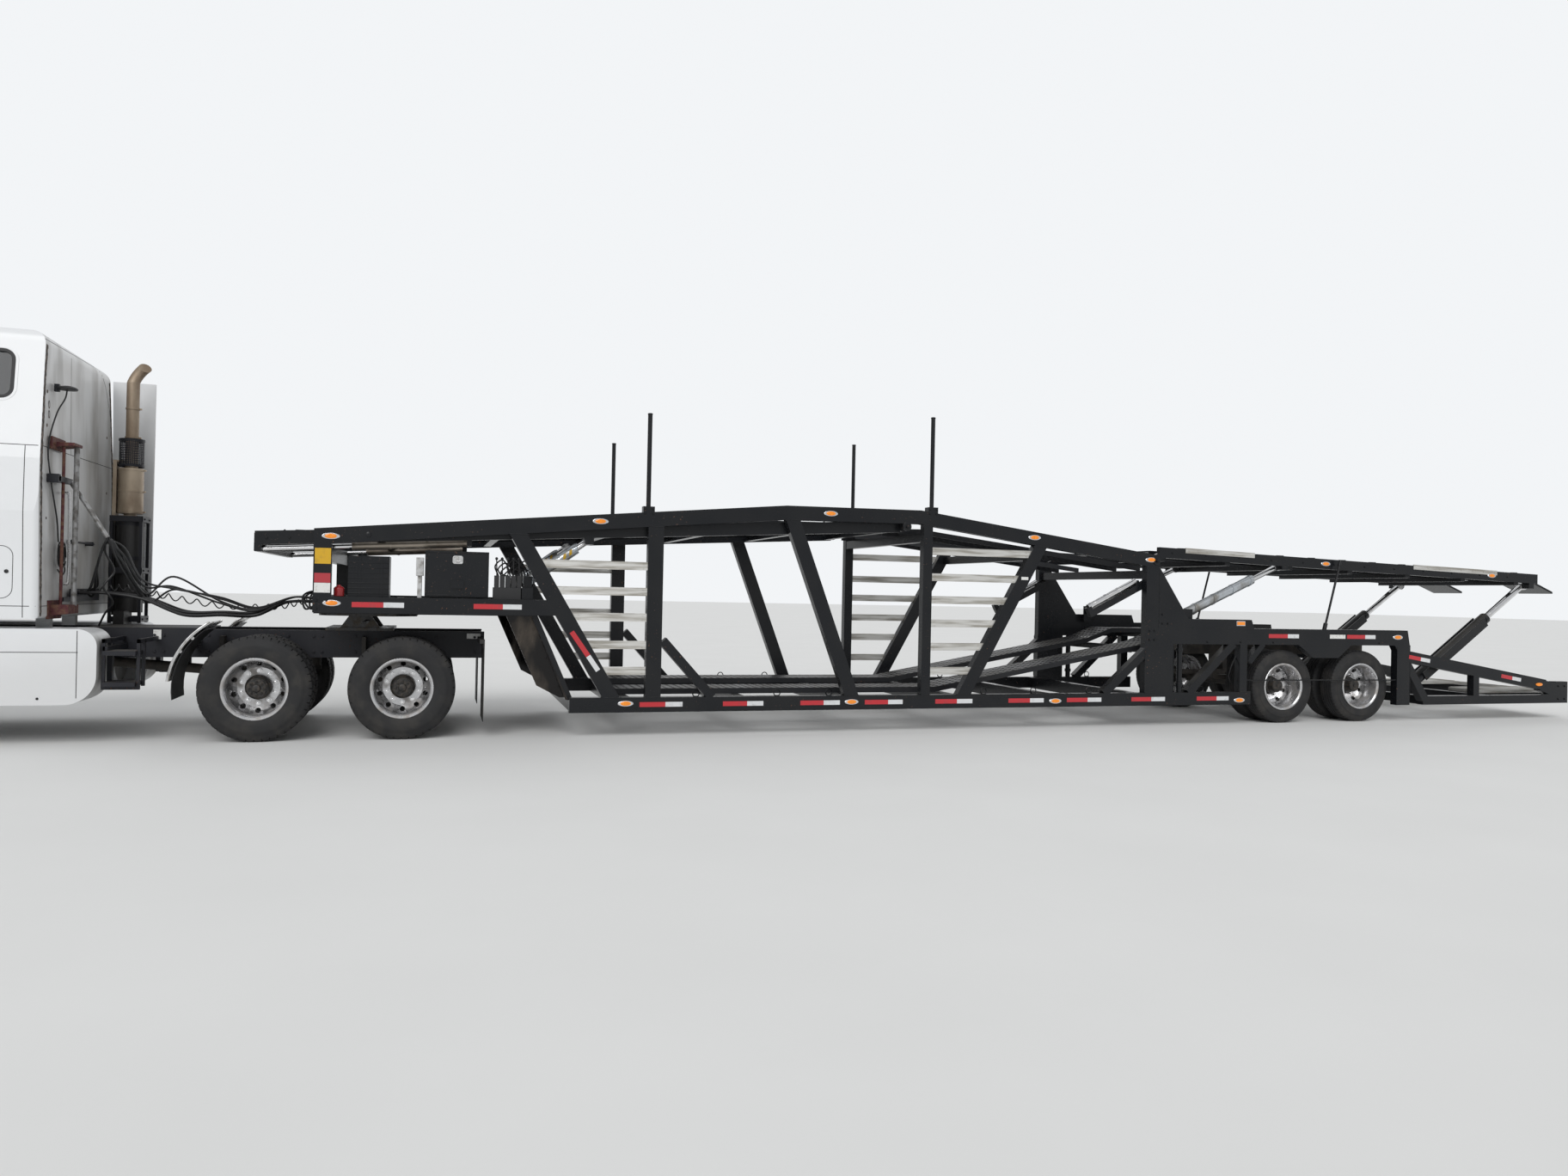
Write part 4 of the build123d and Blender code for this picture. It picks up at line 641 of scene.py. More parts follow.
cab = Skin("cab_shell")
beside, behind = 1.6, -2.2      # what lies on the cab comes from this far out and this far back
joint_wide, joint_proud = 0.007, 0.0008
cab_front, cab_sill, cab_waist, cab_corner = -5.12, 1.262, 2.715, 1.095
side_joints = (
    ((cab_front, cab_waist), (-3.15, cab_waist)), ((-3.252, 2.71), (-3.226, 1.16)),
    ((cab_front, cab_sill), (-3.13, cab_sill)), ((-4.95, 2.71), (-4.95, 1.27)),
    ((cab_front, 1.30), (cab_front, cab_waist)), ((cab_front, cab_waist), (-5.70, 2.74)),
)
back_joints = (         # Y and Z on the back wall
    ((-1.12, 3.705), (0.54, 3.745)), ((-1.13, 2.72), (1.12, 2.737)), ((-1.13, cab_sill), (1.12, cab_sill)),
    ((0.637, 3.755), (0.84, 3.595), (1.0, 3.353), (cab_corner, 3.098), (cab_corner, 1.16)),
    ((-0.3, 3.72), (-0.3, 2.73)),
)
hatch_front, hatch_rear, hatch_low, hatch_high = -3.97, -3.31, 1.33, 1.80
hatch = [(x, z, 0.09) for x, z in ((hatch_front, hatch_low), (hatch_rear, hatch_low),
                                   (hatch_rear, hatch_high), (hatch_front, hatch_high))]
joints = Form()
for side in (-1, 1):
    inward = (0, -side, 0)
    for line in side_joints:
        ribbon(joints, cab.path([(x, side * beside, z) for x, z in line], inward), joint_wide, joint_proud)
    # The luggage hatch with its round locks
    ribbon(joints, around(cab, hatch, side, 0), 0.006, joint_proud, closed=True)
    for x in (-3.357, -3.92):
        place, up = cab.under((x, side * beside, 1.572), inward)
        joints.turned(((-0.004, 0.017), (0.006, 0.017), (0.008, 0.013), (0.008, 0.006), (0.005, 0.005)),
                      place, up, 20)
forward = (-1, 0, 0)
for line in back_joints:
    ribbon(joints, cab.path([(behind, y, z) for y, z in line], forward), joint_wide, joint_proud)
joints.piece("panel_joints", gasket, "tractor")

corner_line = ((1.12, 1.17), (1.125, 2.6), (1.035, 3.40), (0.985, 3.66))
plugs = ((-0.98, 3.233, 0.016), (-0.984, 2.921, 0.016), (-0.95, 2.62, 0.014), (-0.99, 2.07, 0.012),
         (-0.241, 1.438, 0.02), (0.9, 3.05, 0.014), (0.9, 2.45, 0.014))
corner_seal = Form()
for side in (-1, 1):
    ribbon(corner_seal, cab.path([(behind, side * y, z) for y, z in corner_line], forward, 0.022),
           0.042, 0.003, ragged=0.4)
for y, z, radius in plugs:
    place, up = cab.under((behind, y, z), forward)
    corner_seal.turned(((-0.003, radius), (0.003, radius), (0.004, radius * 0.6)), place, up, 14)
for z in (3.12, 3.03):
    ring = [(behind, -0.93 + 0.018 * math.cos(a), z + 0.034 * math.sin(a))
            for a in (math.tau * k / 16 for k in range(16))]
    ribbon(corner_seal, [cab.under(point, forward) for point in ring], 0.008, 0.002, closed=True)
corner_seal.piece("corner_sealant", sealant, "tractor")


# Windows: tinted panes in black rubber gaskets, a two-piece windscreen and vent windows, with the
# floor, dash, wheel, seats and bunk behind them in grey trim.

pane = Finish("Tinted glass", (0.012, 0.015, 0.018), 0.05, Alpha=0.86)
pane.set(Roughness=pane.step(pane.noise(2.2, 5), 0.45, 0.8) * 0.15 + 0.03,
         Alpha=pane.noise(1.5, 3) * 0.1 + 0.80)
wear(pane, "cab_glass", "door_glass_left", "door_glass_right")
trim = Finish("Grey interior trim", (0.16, 0.155, 0.15), 0.85)
trim.bump(trim.noise(180, 2), 0.0008)
wear(trim, "cab_interior")

sleeper_window = [(-3.76, 3.16, 0.07), (-3.40, 3.16, 0.07), (-3.40, 3.56, 0.07), (-3.76, 3.56, 0.07)]
lower_window = [(-4.75, 2.15, 0.06), (-4.35, 2.15, 0.06), (-4.35, 2.56, 0.06), (-4.75, 2.56, 0.06)]
door_window = [(-6.04, 1.90, 0.04), (-5.27, 1.90, 0.06), (-5.27, 2.62, 0.08), (-5.53, 2.62, 0.06),
               (-6.04, 2.06, 0.04)]
gaskets = Form()
for side in (-1, 1):
    for outline in (sleeper_window, lower_window):
        ribbon(gaskets, around(cab, outline, side, 0.014), 0.030, 0.006, closed=True)
gaskets.paint = 1
for side in (-1, 1):
    ribbon(gaskets, around(cab, sleeper_window, side, 0.042), 0.024, 0.003, closed=True)
# The two wipers and the windscreen's centre bar
gaskets.paint = 0
screen = Skin("cab_glass")
before_screen, rearward = -7.2, (1, 0, 0)
for y in (-0.35, 0.35):
    foot, foot_up = screen.under((before_screen, y - 0.28, 2.04), rearward)
    tip, tip_up = screen.under((before_screen, y + 0.22, 2.34), rearward)
    blade = tip + tip_up * 0.012
    gaskets.tube((foot + foot_up * 0.02, tip + tip_up * 0.02), 0.009, 8)
    gaskets.tube((blade + Vector((0, -0.28, -0.02)), blade + Vector((0, 0.22, 0.03))), 0.007, 8)
bar_path = screen.path([(before_screen, 0, 2.02), (before_screen, 0, 2.70)], rearward)
ribbon(gaskets, bar_path, 0.03, 0.006)
gaskets.piece("window_gaskets", (gasket, white), "tractor")


# Doors: each hangs on two pins ahead of its window, with a flush handle, a rubber gasket round
# the pane and a mirror head on two arms.

mirror_glass = Finish("Mirror glass", (0.72, 0.74, 0.76), 0.04, 1.0)
mirror_glass.set(Roughness=mirror_glass.noise(4, 3) * 0.08)
black_trim = Finish("Black moulded plastic", (0.015, 0.015, 0.016), 0.5)
black_trim.bump(black_trim.noise(260, 2), 0.0005)
door_side, door_front, door_rear = 1.22, -6.0, -5.24
mirror_in, mirror_out, mirror_x = 1.285, 1.415, (-5.925, -5.912)
for hand, side in hands:
    leaf = Skin(f"door_{hand}")
    inward = (0, -side, 0)
    fittings = Form()
    ribbon(fittings, around(leaf, door_window, side, 0.014, door_side), 0.028, 0.005, closed=True)
    for start, end, z, width, proud in ((door_front, door_rear, 1.87, 0.006, joint_proud),
                                        (-6.08, -5.22, 1.36, 0.02, 0.004)):
        ribbon(fittings, leaf.path([(x, side * door_side, z) for x in (start, end)], inward), width, proud)
    for z in (1.34, 1.75):
        place, up = leaf.under((-6.10, side * door_side, z), inward)
        fittings.box(place.x - 0.02, place.x + 0.07, place.y - side * 0.004, place.y + side * 0.018,
                     z - 0.035, z + 0.035)
    fittings.box(-5.42, -5.21, side * 1.226, side * 1.236, 1.672, 1.738)
    fittings.paint = 1
    for low, high in ((1.90, 2.27), (2.30, 2.47)):
        corners = rounded([(side * y, z, 0.03) for y, z in ((mirror_in, low), (mirror_out, low),
                                                            (mirror_out, high), (mirror_in, high))])
        fittings.loft([[(x, y, z) for y, z in corners] for x in mirror_x])
    fittings.paint = 2
    fittings.box(-5.41, -5.24, side * 1.232, side * 1.240, 1.688, 1.722)
    fittings.piece(f"door_fittings_{hand}", (black_trim, mirror_glass, bright), f"door_{hand}", 0.002)


# Hood and bumper: a one-piece hood that tilts on the bumper's pins, with a chromed grille
# surround, mesh behind its bars, lamps in its corners and a chromed three-piece bumper.

chrome_film = Finish("Bumper chrome", (0.80, 0.80, 0.81), 0.14, 1.0)
chrome_film.set(Roughness=chrome_film.step(chrome_film.noise(8, 5), 0.4, 0.75) * 0.25 + 0.08)
wear(chrome_film, "front_bumper")
lens = Finish("Clear lamp lens", (0.62, 0.66, 0.68), 0.08, Coat_Weight=0.6)
lens.set(Roughness=lens.step(lens.noise(9, 4), 0.4, 0.8) * 0.25 + 0.04)
lens.bump(lens.noise(90, 1, (1, 0.2, 1)), 0.002)
wear(lens, "headlamps")

hood_skin = Skin("hood_shell")
before_hood, frame_wide, frame_proud = -8.6, 0.034, 0.012
grille_half, grille_low, grille_high = 0.5375, 0.852, 1.458
grille = Form()
for y in (-grille_half, grille_half):
    ribbon(grille, hood_skin.path([(before_hood, y, 0.87), (before_hood, y, 1.445)], rearward),
           frame_wide, frame_proud)
for z in (grille_low, grille_high):
    ribbon(grille, hood_skin.path([(before_hood, -0.55, z), (before_hood, 0.55, z)], rearward),
           frame_wide, frame_proud)
for k in range(9):
    z = 0.892 + 0.062 * k
    if hood_skin.under((before_hood, 0.1, z), rearward):
        ribbon(grille, hood_skin.path([(before_hood, -0.52, z), (before_hood, 0.52, z)], rearward),
               0.014, 0.004)
for side in (-1, 1):
    # The air intakes high on the hood's sides
    for k in range(6):
        x = -6.62 + 0.05 * k
        if hood_skin.under((x, side * beside, 1.55), (0, -side, 0)):
            intake = [(x, side * beside, z) for z in (1.46, 1.64)]
            ribbon(grille, hood_skin.path(intake, (0, -side, 0)), 0.012, 0.008)
grille.paint = 1
for side in (-1, 1):
    # The fender's seam and the rubber latch at its rear end
    seam = [(-7.45, side * beside, 1.28), (-6.40, side * beside, 1.33)]
    ribbon(grille, hood_skin.path(seam, (0, -side, 0)), joint_wide, joint_proud)
    found = hood_skin.under((-6.42, side * beside, 1.20), (0, -side, 0))
    if found:
        place = found[0]
        grille.box(place.x - 0.03, place.x + 0.03, place.y - side * 0.01, place.y + side * 0.02, 1.14, 1.26)
grille.piece("grille_trim", (bright, black_trim), "hood")
core = Form()
for k in range(56):
    y = -0.5 + 0.018 * k
    core.box(-7.68, -7.672, y, y + 0.004, 0.87, 1.44)
for k in range(12):
    z = 0.88 + 0.048 * k
    core.box(-7.69, -7.682, -0.5, 0.5, z, z + 0.005)
core.box(-7.66, -7.63, -0.53, 0.53, 0.84, 1.46)
core.piece("radiator_core", grime, "tractor")


# Side fairings and steps: white skirts over the fuel tanks, and on each side two ribbed
# aluminium treads in a black frame behind the skirt.

skirts = Skin("fairings")
skirt_lines = (
    ((-2.798, 1.045), (-2.796, 0.38)), ((-5.66, 0.848), (-2.79, 0.848)), ((-4.1, 1.05), (-4.1, 0.38)),
)
skirt_joints = Form()
for side in (-1, 1):
    inward = (0, -side, 0)
    for line in skirt_lines:
        ribbon(skirt_joints, skirts.path([(x, side * beside, z) for x, z in line], inward),
               joint_wide, joint_proud)
    for x in (-5.2, -4.5, -3.7, -3.1):
        place, up = skirts.under((x, side * beside, 0.43), inward)
        skirt_joints.bolt(place, up, 0.016, 0.006)
skirt_joints.piece("skirt_joints", gasket, "tractor")

plate_silver = Finish("Ribbed aluminium", (0.62, 0.62, 0.62), 0.38, 0.8)
scuff = plate_silver.step(plate_silver.noise(14, 6), 0.42, 0.7)
plate_silver.set(Base_Color=plate_silver.mix(scuff, (0.68, 0.68, 0.68), (0.33, 0.32, 0.30)),
                 Roughness=scuff * 0.3 + 0.3)
tread_front, tread_rear, tread_in, tread_out = -2.585, -2.345, 0.90, 1.14
leg_foot, leg_head, leg_wide = 0.52, 0.97, 0.03
steps = Form()
for side in (-1, 1):
    for z in (0.845, 0.565):
        steps.box(tread_front, tread_rear, side * tread_in, side * tread_out, z - 0.028, z)
        for k in range(11):
            x = tread_front + 0.012 + 0.021 * k
            steps.box(x, x + 0.009, side * (tread_in + 0.005), side * (tread_out - 0.005), z, z + 0.005)
steps.paint = 1
for side in (-1, 1):
    for x in (-2.62, -2.335):
        steps.box(x, x + leg_wide, side * rail_y, side * 1.12, 0.93, leg_head)
        for y0, y1 in ((1.085, 1.12), (0.91, 0.94)):
            steps.prism(((x, leg_head), (x + leg_wide, leg_head), (x + leg_wide, leg_foot), (x, leg_foot)),
                        side * y0, side * y1)
    steps.box(-2.62, -2.305, side * 1.085, side * 1.115, 0.50, 0.54)
steps.piece("side_steps", (plate_silver, chassis), "tractor", 0.002)


# Exhaust: a tanned pipe with a curved tip in a punched guard and a round heat shield, above a
# muffler that straps hold in a black upright frame behind the sleeper.

def punched(form, place, columns, rows, hole, thick):
    """A sheet with rows of round holes; place(u, v) gives the point and the direction there for
    u and v from 0 to 1, and hole is the radius in parts of a cell."""
    cell_edge = ((0, 0), (0.5, 0), (1, 0), (1, 0.5), (1, 1), (0.5, 1), (0, 1), (0, 0.5))
    for i in range(columns):
        for j in range(rows):
            edge, inner = [], []
            for du, dv in cell_edge:
                edge.append(place((i + du) / columns, (j + dv) / rows))
                angle = math.atan2(dv - 0.5, du - 0.5)
                inner.append(place((i + 0.5 + hole * math.cos(angle)) / columns,
                                   (j + 0.5 + hole * math.sin(angle)) / rows))
            form.loft([[point for point, _ in edge], [point for point, _ in inner],
                       [point - up * thick for point, up in inner],
                       [point - up * thick for point, up in edge]], caps=False)


def band(form, centre, way, half, radius, thick, sides=32):
    """A flat ring round a pipe, half its width to each side."""
    form.turned(((-half, radius), (-half, radius + thick), (half, radius + thick), (half, radius)),
                centre, way, sides, closed=True)


tanned = Finish("Heat-tanned steel", (0.36, 0.29, 0.21), 0.5, 0.55)
heat = tanned.step(tanned.noise(3.2, 5, (1, 1, 0.5)), 0.35, 0.7)
soot = tanned.step(tanned.part_of(tanned.place(), "Z"), 2.26, 2.1)
tan = tanned.mix(heat, (0.44, 0.36, 0.27), (0.22, 0.16, 0.11))
tanned.set(Base_Color=tanned.mix(soot, tan, (0.02, 0.019, 0.019)), Roughness=heat * 0.2 + 0.38,
           Metallic=0.5 - soot * 0.4)
tanned.bump(tanned.noise(60, 4), 0.0012)
wear(tanned, "exhaust_stack")

stack_x, stack_y, upward = -2.86, 0.75, (0, 0, 1)
shield_r, shield_low, shield_high = 0.118, 2.745, 3.02
muffler_r, frame_half, cross_half = 0.136, 0.155, 0.165


def shield(u, v):
    """The heat shield's surface round the pipe."""
    angle = math.tau * u
    out = Vector((math.cos(angle), math.sin(angle), 0))
    return Vector((stack_x, stack_y, shield_low + (shield_high - shield_low) * v)) + out * shield_r, out


guard = Form()
punched(guard, shield, 40, 15, 0.33, 0.002)
for z in (shield_low, shield_high):
    band(guard, (stack_x, stack_y, z), upward, 0.012, shield_r, 0.006)
for z in (1.35, 1.75, 2.12):
    band(guard, (stack_x, stack_y, z), upward, 0.02, muffler_r, 0.006)
for dx in (-frame_half, 0.125):
    for dy in (-0.16, 0.13):
        x, y = stack_x + dx, stack_y + dy
        guard.box(x, x + 0.03, y, y + 0.03, 1.06, 2.20)
for z in (1.10, 1.62, 2.17):
    low, high = z - 0.03, z + 0.03
    for y0, y1 in ((-cross_half, -frame_half), (frame_half, cross_half)):
        guard.box(stack_x - frame_half, stack_x + frame_half, stack_y + y0, stack_y + y1, low, high)
    guard.box(stack_x + 0.15, stack_x + 0.16, stack_y - cross_half, stack_y + cross_half, low, high)
    for dy in (-0.1, 0.1):
        guard.bolt((stack_x + 0.16, stack_y + dy, z), (1, 0, 0), 0.018, 0.008)
guard.piece("stack_guard", chassis, "tractor")
collars = Form()
for z, radius in ((2.25, 0.1215), (2.47, 0.1205), (2.70, 0.1215), (3.05, 0.065), (3.36, 0.064)):
    lug = stack_x + radius - 0.002
    band(collars, (stack_x, stack_y, z), upward, 0.009, radius - 0.002, 0.006)
    collars.box(lug, lug + 0.024, stack_y - 0.012, stack_y + 0.012, z - 0.008, z + 0.008)
collars.piece("stack_clamps", tanned, "tractor")


# Hose rack on the sleeper's back: two rusty brackets with a zinc tube and a rusty bar between
# them, a grab handle, a clamped pole that holds the hoses up, a work light and its cable.

def curve(points, steps=8):
    """A smooth line through points."""
    points = [Vector(p) for p in points]
    ends = [2 * points[0] - points[1]] + points + [2 * points[-1] - points[-2]]
    line = []
    for a, b, c, d in zip(ends, ends[1:], ends[2:], ends[3:]):
        for k in range(steps):
            t = k / steps
            line.append(0.5 * (2 * b + (c - a) * t + (2 * a - 5 * b + 4 * c - d) * t * t
                               + (3 * b - a - 3 * c + d) * t ** 3))
    return line + [points[-1]]


rusty = Finish("Rusted red bracket", (0.09, 0.03, 0.025), 0.75)
flake = rusty.noise(24, 6)
rusty.set(Base_Color=rusty.mix(rusty.step(flake, 0.4, 0.65), (0.085, 0.018, 0.022), (0.14, 0.066, 0.040)))
rusty.bump(flake, 0.002)
black_rubber = Finish("Black hose rubber", (0.014, 0.014, 0.015), 0.45)
black_rubber.bump(black_rubber.noise(220, 2), 0.0005)
zinc = Finish("Weathered zinc", (0.24, 0.24, 0.24), 0.5, 0.45)
spangle = zinc.step(zinc.noise(16, 6), 0.38, 0.68)
zinc.set(Base_Color=zinc.mix(spangle, (0.34, 0.34, 0.34), (0.15, 0.14, 0.13)), Roughness=spangle * 0.25 + 0.4)

rack = Form()
for low, high, reach, wide in ((1.17, 1.272, -2.955, 0.30), (2.745, 2.79, -2.952, 0.24)):
    rack.prism(((-3.118, low), (reach, low + 0.02), (reach, high), (-3.125, high)), -0.60 - wide, -0.60)
    rack.prism(((-3.12, low - 0.03), (-3.10, low - 0.03), (-3.10, high + 0.04), (-3.125, high + 0.04)),
               -0.95, -0.58)
    for y in (-0.90, -0.63):
        rack.bolt((-3.10, y, (low + high) / 2), (1, 0, 0), 0.022, 0.012)
rack.tube(((-3.045, -0.81, 1.26), (-3.045, -0.81, 2.75)), 0.014, 12)
rack.paint = 1
rack.tube(((-2.975, -0.68, 1.262), (-2.975, -0.68, 2.762)), 0.024, 16)
rack.paint = 2
rack.tube(curve(((-3.118, -0.615, 2.33), (-3.075, -0.615, 2.33), (-3.05, -0.615, 2.29),
                 (-3.045, -0.61, 1.9), (-3.045, -0.61, 1.51), (-3.07, -0.61, 1.47),
                 (-3.108, -0.61, 1.47))), 0.013, 12)
# The board with its six couplings, the upper clamp, the light's foot and the grab handle
rack.paint = 3
for block in ((-3.085, -3.05, -0.42, 0.42, 1.30, 1.42), (-3.07, -3.05, -0.70, -0.40, 1.30, 1.34),
              (-3.125, -3.03, -0.99, -0.93, 2.40, 2.48), (-3.095, -3.03, -0.98, -0.58, 2.415, 2.465),
              (-3.13, -3.09, -0.84, -0.80, 3.26, 3.33)):
    rack.box(*block)
for y in (-0.38, 0.18):
    rack.box(-3.122, -3.05, y - 0.02, y + 0.02, 1.855, 1.895)
rack.tube(((-3.06, -0.42, 1.875), (-3.06, 0.22, 1.875)), 0.011, 10)
for k in range(6):
    rack.turned(((0, 0.024), (0.018, 0.024), (0.02, 0.018), (0.034, 0.018)),
                (-3.051, -0.35 + 0.065 * k, 1.385), (1, 0, 0), 12)
rack.paint = 4
rack.tube(((-3.045, -0.60, 2.44), (-2.87, -0.61, 2.17), (-2.72, -0.62, 1.92)), 0.020, 14)
rack_piece = rack.piece("hose_rack_fittings", (rusty, zinc, bright, chassis, zinc), "tractor", 0.002)
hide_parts("hose_rack")

light_wire, hank_turns, hank_steps = 0.007, 6, 14
work_light = Form()
work_light.turned(((-0.006, 0.02), (0.0, 0.086), (0.012, 0.088), (0.026, 0.07), (0.036, 0.03),
                   (0.038, 0.004)), (-3.035, -0.80, 3.285), (0.12, 0, 1), 28)
work_light.tube(((-3.10, -0.82, 3.29), (-3.035, -0.80, 3.283)), 0.009, 8)
work_light.tube(curve(((-3.035, -0.80, 3.28), (-3.05, -0.80, 3.20), (-3.10, -0.86, 3.04),
                       (-3.12, -0.99, 2.73), (-3.11, -0.93, 2.42), (-3.10, -0.78, 2.08),
                       (-3.10, -0.72, 1.86))), light_wire, 8)
hank = []
for k in range(hank_turns * hank_steps):
    angle, loop = math.tau * k / hank_steps, k // hank_steps
    hank.append((-3.085 + 0.006 * loop, -0.72 + (0.055 + 0.012 * (loop * 5 % 3)) * math.cos(angle),
                 1.76 + 0.10 * math.sin(angle) - 0.012 * (loop * 7 % 4)))
work_light.tube(hank, light_wire, 8)
work_light.tube(curve(((-3.07, -0.70, 1.70), (-3.06, -0.66, 1.60), (-3.07, -0.70, 1.55),
                       (-3.09, -0.76, 1.60))), light_wire, 8)
work_light.piece("work_light", black_rubber, "tractor")


# Service hoses: six black rubber air and electric lines, four slack ones and a coiled cable from
# the rack to the trailer's nose. They are laid round the kingpin, each at its own angle about it.

kingpin_x, nose_front, nose_half = -0.45, -0.823, 1.295
joint_r = math.hypot(kingpin_x - nose_front, nose_half) + 0.02      # just clear of the nose's corners
nose_x = -0.83
hose_table = (          # Y at the rack, angle about the kingpin, Y at the trailer, height between
    (-0.350, -12.0, -0.330, 1.185), (-0.285, -9.0, -0.250, 1.210), (-0.220, -6.2, -0.170, 1.175),
    (-0.155, -3.2, -0.080, 1.200), (-0.090, -0.4, 0.020, 1.180), (-0.025, 2.6, 0.110, 1.205),
)
slack_table = (         # height and Y of the swing, height ahead of the joint, angle, Y at the trailer
    (1.66, -0.44, 1.46, -10.5, -0.42), (1.58, -0.36, 1.52, -7.6, -0.30),
    (1.50, -0.30, 1.43, -4.4, -0.13), (1.72, -0.50, 1.40, -13.2, -0.36),
)


def round_kingpin(angle, places):
    """Points at an angle about the kingpin, for radii and heights."""
    turn = math.radians(angle)
    return [(kingpin_x - r * math.cos(turn), r * math.sin(turn), z) for r, z in places]


hoses = Form()
for y0, angle, y1, low in hose_table:
    between = round_kingpin(angle, [(joint_r + reach, low) for reach in (0.34, 0, -0.33)])
    hoses.tube(curve([(-3.02, y0, 1.385), (-2.80, y0, 1.383), (-2.47, y0 - 0.04, 1.335), *between,
                      (-1.18, y1, 1.322), (-0.825, y1, 1.330)], 10), 0.014, 10)
# Slack lines that swing down from the pole's end, and the coiled electric cable
for k, (dip, sway, low, angle, y1) in enumerate(slack_table):
    between = round_kingpin(angle, ((joint_r + 0.42, low + 0.04 * (k % 2)), (joint_r, 1.30 + 0.02 * k),
                                    (joint_r - 0.33, 1.225 + 0.012 * k)))
    hoses.tube(curve([(-2.73, -0.615 + 0.012 * k, 1.905), (-2.60, -0.56 + 0.02 * k, dip + 0.10),
                      (-2.44, sway, dip - 0.20), *between, (-1.10, y1, 1.375), (nose_x, y1, 1.350)], 12),
               0.010, 8)
coil_steps, coil_r, coil_ease = 13, 0.030, 20
cable = []
middle = curve([(-3.02, 0.06, 1.40), (-2.72, 0.04, 1.44), (-2.35, 0.02, 1.36),
                (kingpin_x - joint_r, 0.03, 1.27), (-1.30, 0.04, 1.27), (-0.98, 0.06, 1.35),
                (nose_x, 0.06, 1.37)], 4 * coil_steps)
for k, place in enumerate(middle):
    loose = coil_r * min(1, k / coil_ease, (len(middle) - 1 - k) / coil_ease)
    angle = math.tau * k / coil_steps
    cable.append(place + loose * Vector((0, math.cos(angle), math.sin(angle))))
hoses.tube(cable, 0.0065, 6)
hose_bundle = hoses.piece("hose_bundle", black_rubber, None)
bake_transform(hose_bundle)
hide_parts("service_hoses", "trailer_hoses")

# Three more lines hang over the pole, and one drops to the deck plate
hung = Form()
for k, (y, dip) in enumerate(((-0.30, 0.04), (-0.17, 0.10), (-0.05, 0.0))):
    hung.tube(curve([(-3.02, y, 1.40), (-2.93, y - 0.06, 1.46 - dip), (-2.84, -0.46, 1.66),
                     (-2.725, -0.60 + 0.012 * k, 1.90), (-2.64, -0.56, 1.80 - dip),
                     (-2.56, -0.44 + 0.05 * k, 1.52), (-2.47, y - 0.05, 1.36)], 8), 0.012, 10)
hung.tube(curve([(-2.72, -0.63, 1.93), (-2.76, -0.52, 1.78), (-2.70, -0.45, 1.60), (-2.78, -0.48, 1.45),
                 (-2.72, -0.40, 1.30), (-2.80, -0.34, 1.18), (-2.86, -0.30, 1.06)], 8), 0.010, 8)
band(hung, (-2.725, -0.60, 1.90), (0.5, 0, 0.8), 0.02, 0.034, 0.006, 16)
hung.piece("hung_hoses", black_rubber, "tractor")


# Fifth wheel and fenders: a greased cast plate that rocks on two brackets, bright quarter
# fenders ahead of the drive wheels, and black mud flaps behind them.

greased = Finish("Greased casting", (0.03, 0.027, 0.024), 0.35)
smear = greased.step(greased.noise(12, 6), 0.4, 0.7)
greased.set(Base_Color=greased.mix(smear, (0.018, 0.017, 0.017), (0.09, 0.07, 0.045)),
            Roughness=smear * 0.35 + 0.22)
greased.bump(greased.noise(40, 4), 0.002)
wear(greased, "fifth_wheel")
fender_steel = Finish("Fenders and flaps", (0.60, 0.60, 0.60), 0.3, 0.75)
is_flap = fender_steel.step(fender_steel.part_of(fender_steel.place(), "X") - axle_x, -0.4, 0.4)
muck = fender_steel.step(fender_steel.noise(7, 6), 0.4, 0.68)
fender_steel.set(
    Base_Color=fender_steel.mix(is_flap, fender_steel.mix(muck, (0.70, 0.70, 0.69), (0.36, 0.33, 0.29)),
                                fender_steel.mix(muck, (0.014, 0.014, 0.015), (0.036, 0.032, 0.028))),
    Metallic=0.7 - is_flap * 0.7, Roughness=muck * 0.3 + is_flap * 0.3 + 0.25)
wear(fender_steel, "wheel_guards")

fender_x, fender_z, fender_r = -1.321, drive_tyre[0], 0.745


def on_fender(angle, inset=0.0):
    """X and Z of a point on the quarter fender's arc, or inside it."""
    reach = fender_r - inset
    return fender_x + reach * math.cos(angle), fender_z + reach * math.sin(angle)


trim_parts = Form()
for side in (-1, 1):
    for y in (0.604, 1.211):
        arc = [on_fender(math.radians(122 + 52 * k / 14)) for k in range(15)]
        trim_parts.tube([(x, side * y, z) for x, z in arc], 0.010, 8)
    trim_parts.tube(((-1.93, side * 0.44, 0.93), (-1.915, side * 0.9, 0.95), (-1.86, side * 1.19, 0.985)),
                    0.016, 10)
    trim_parts.tube(((-1.97, side * 0.44, 0.86), (-1.975, side * 0.9, 0.86), (-1.962, side * 1.18, 0.86)),
                    0.016, 10)
trim_parts.paint = 1
for side in (-1, 1):
    # A black rubber apron that hangs inside the fender's foot, and the clip strip along the flap
    apron = [on_fender(math.radians(angle), 0.03) for angle in range(128, 190, 6)]
    apron += [on_fender(math.radians(angle), 0.038) for angle in range(188, 126, -6)]
    trim_parts.prism(apron, side * 0.66, side * 1.17)
    trim_parts.box(0.762, 0.770, side * 0.62, side * 1.19, 0.90, 0.985)
    for k in range(5):
        trim_parts.bolt((0.762, side * (0.68 + 0.11 * k), 0.94), (-1, 0, 0), 0.018, 0.008)
    trim_parts.box(-0.40, -0.36, side * 0.40, side * 0.86, 1.13, 1.15)
trim_parts.piece("fender_trim", (plate_silver, black_trim), "tractor")
blank = Finish("Blank white label", (0.72, 0.72, 0.70), 0.45)
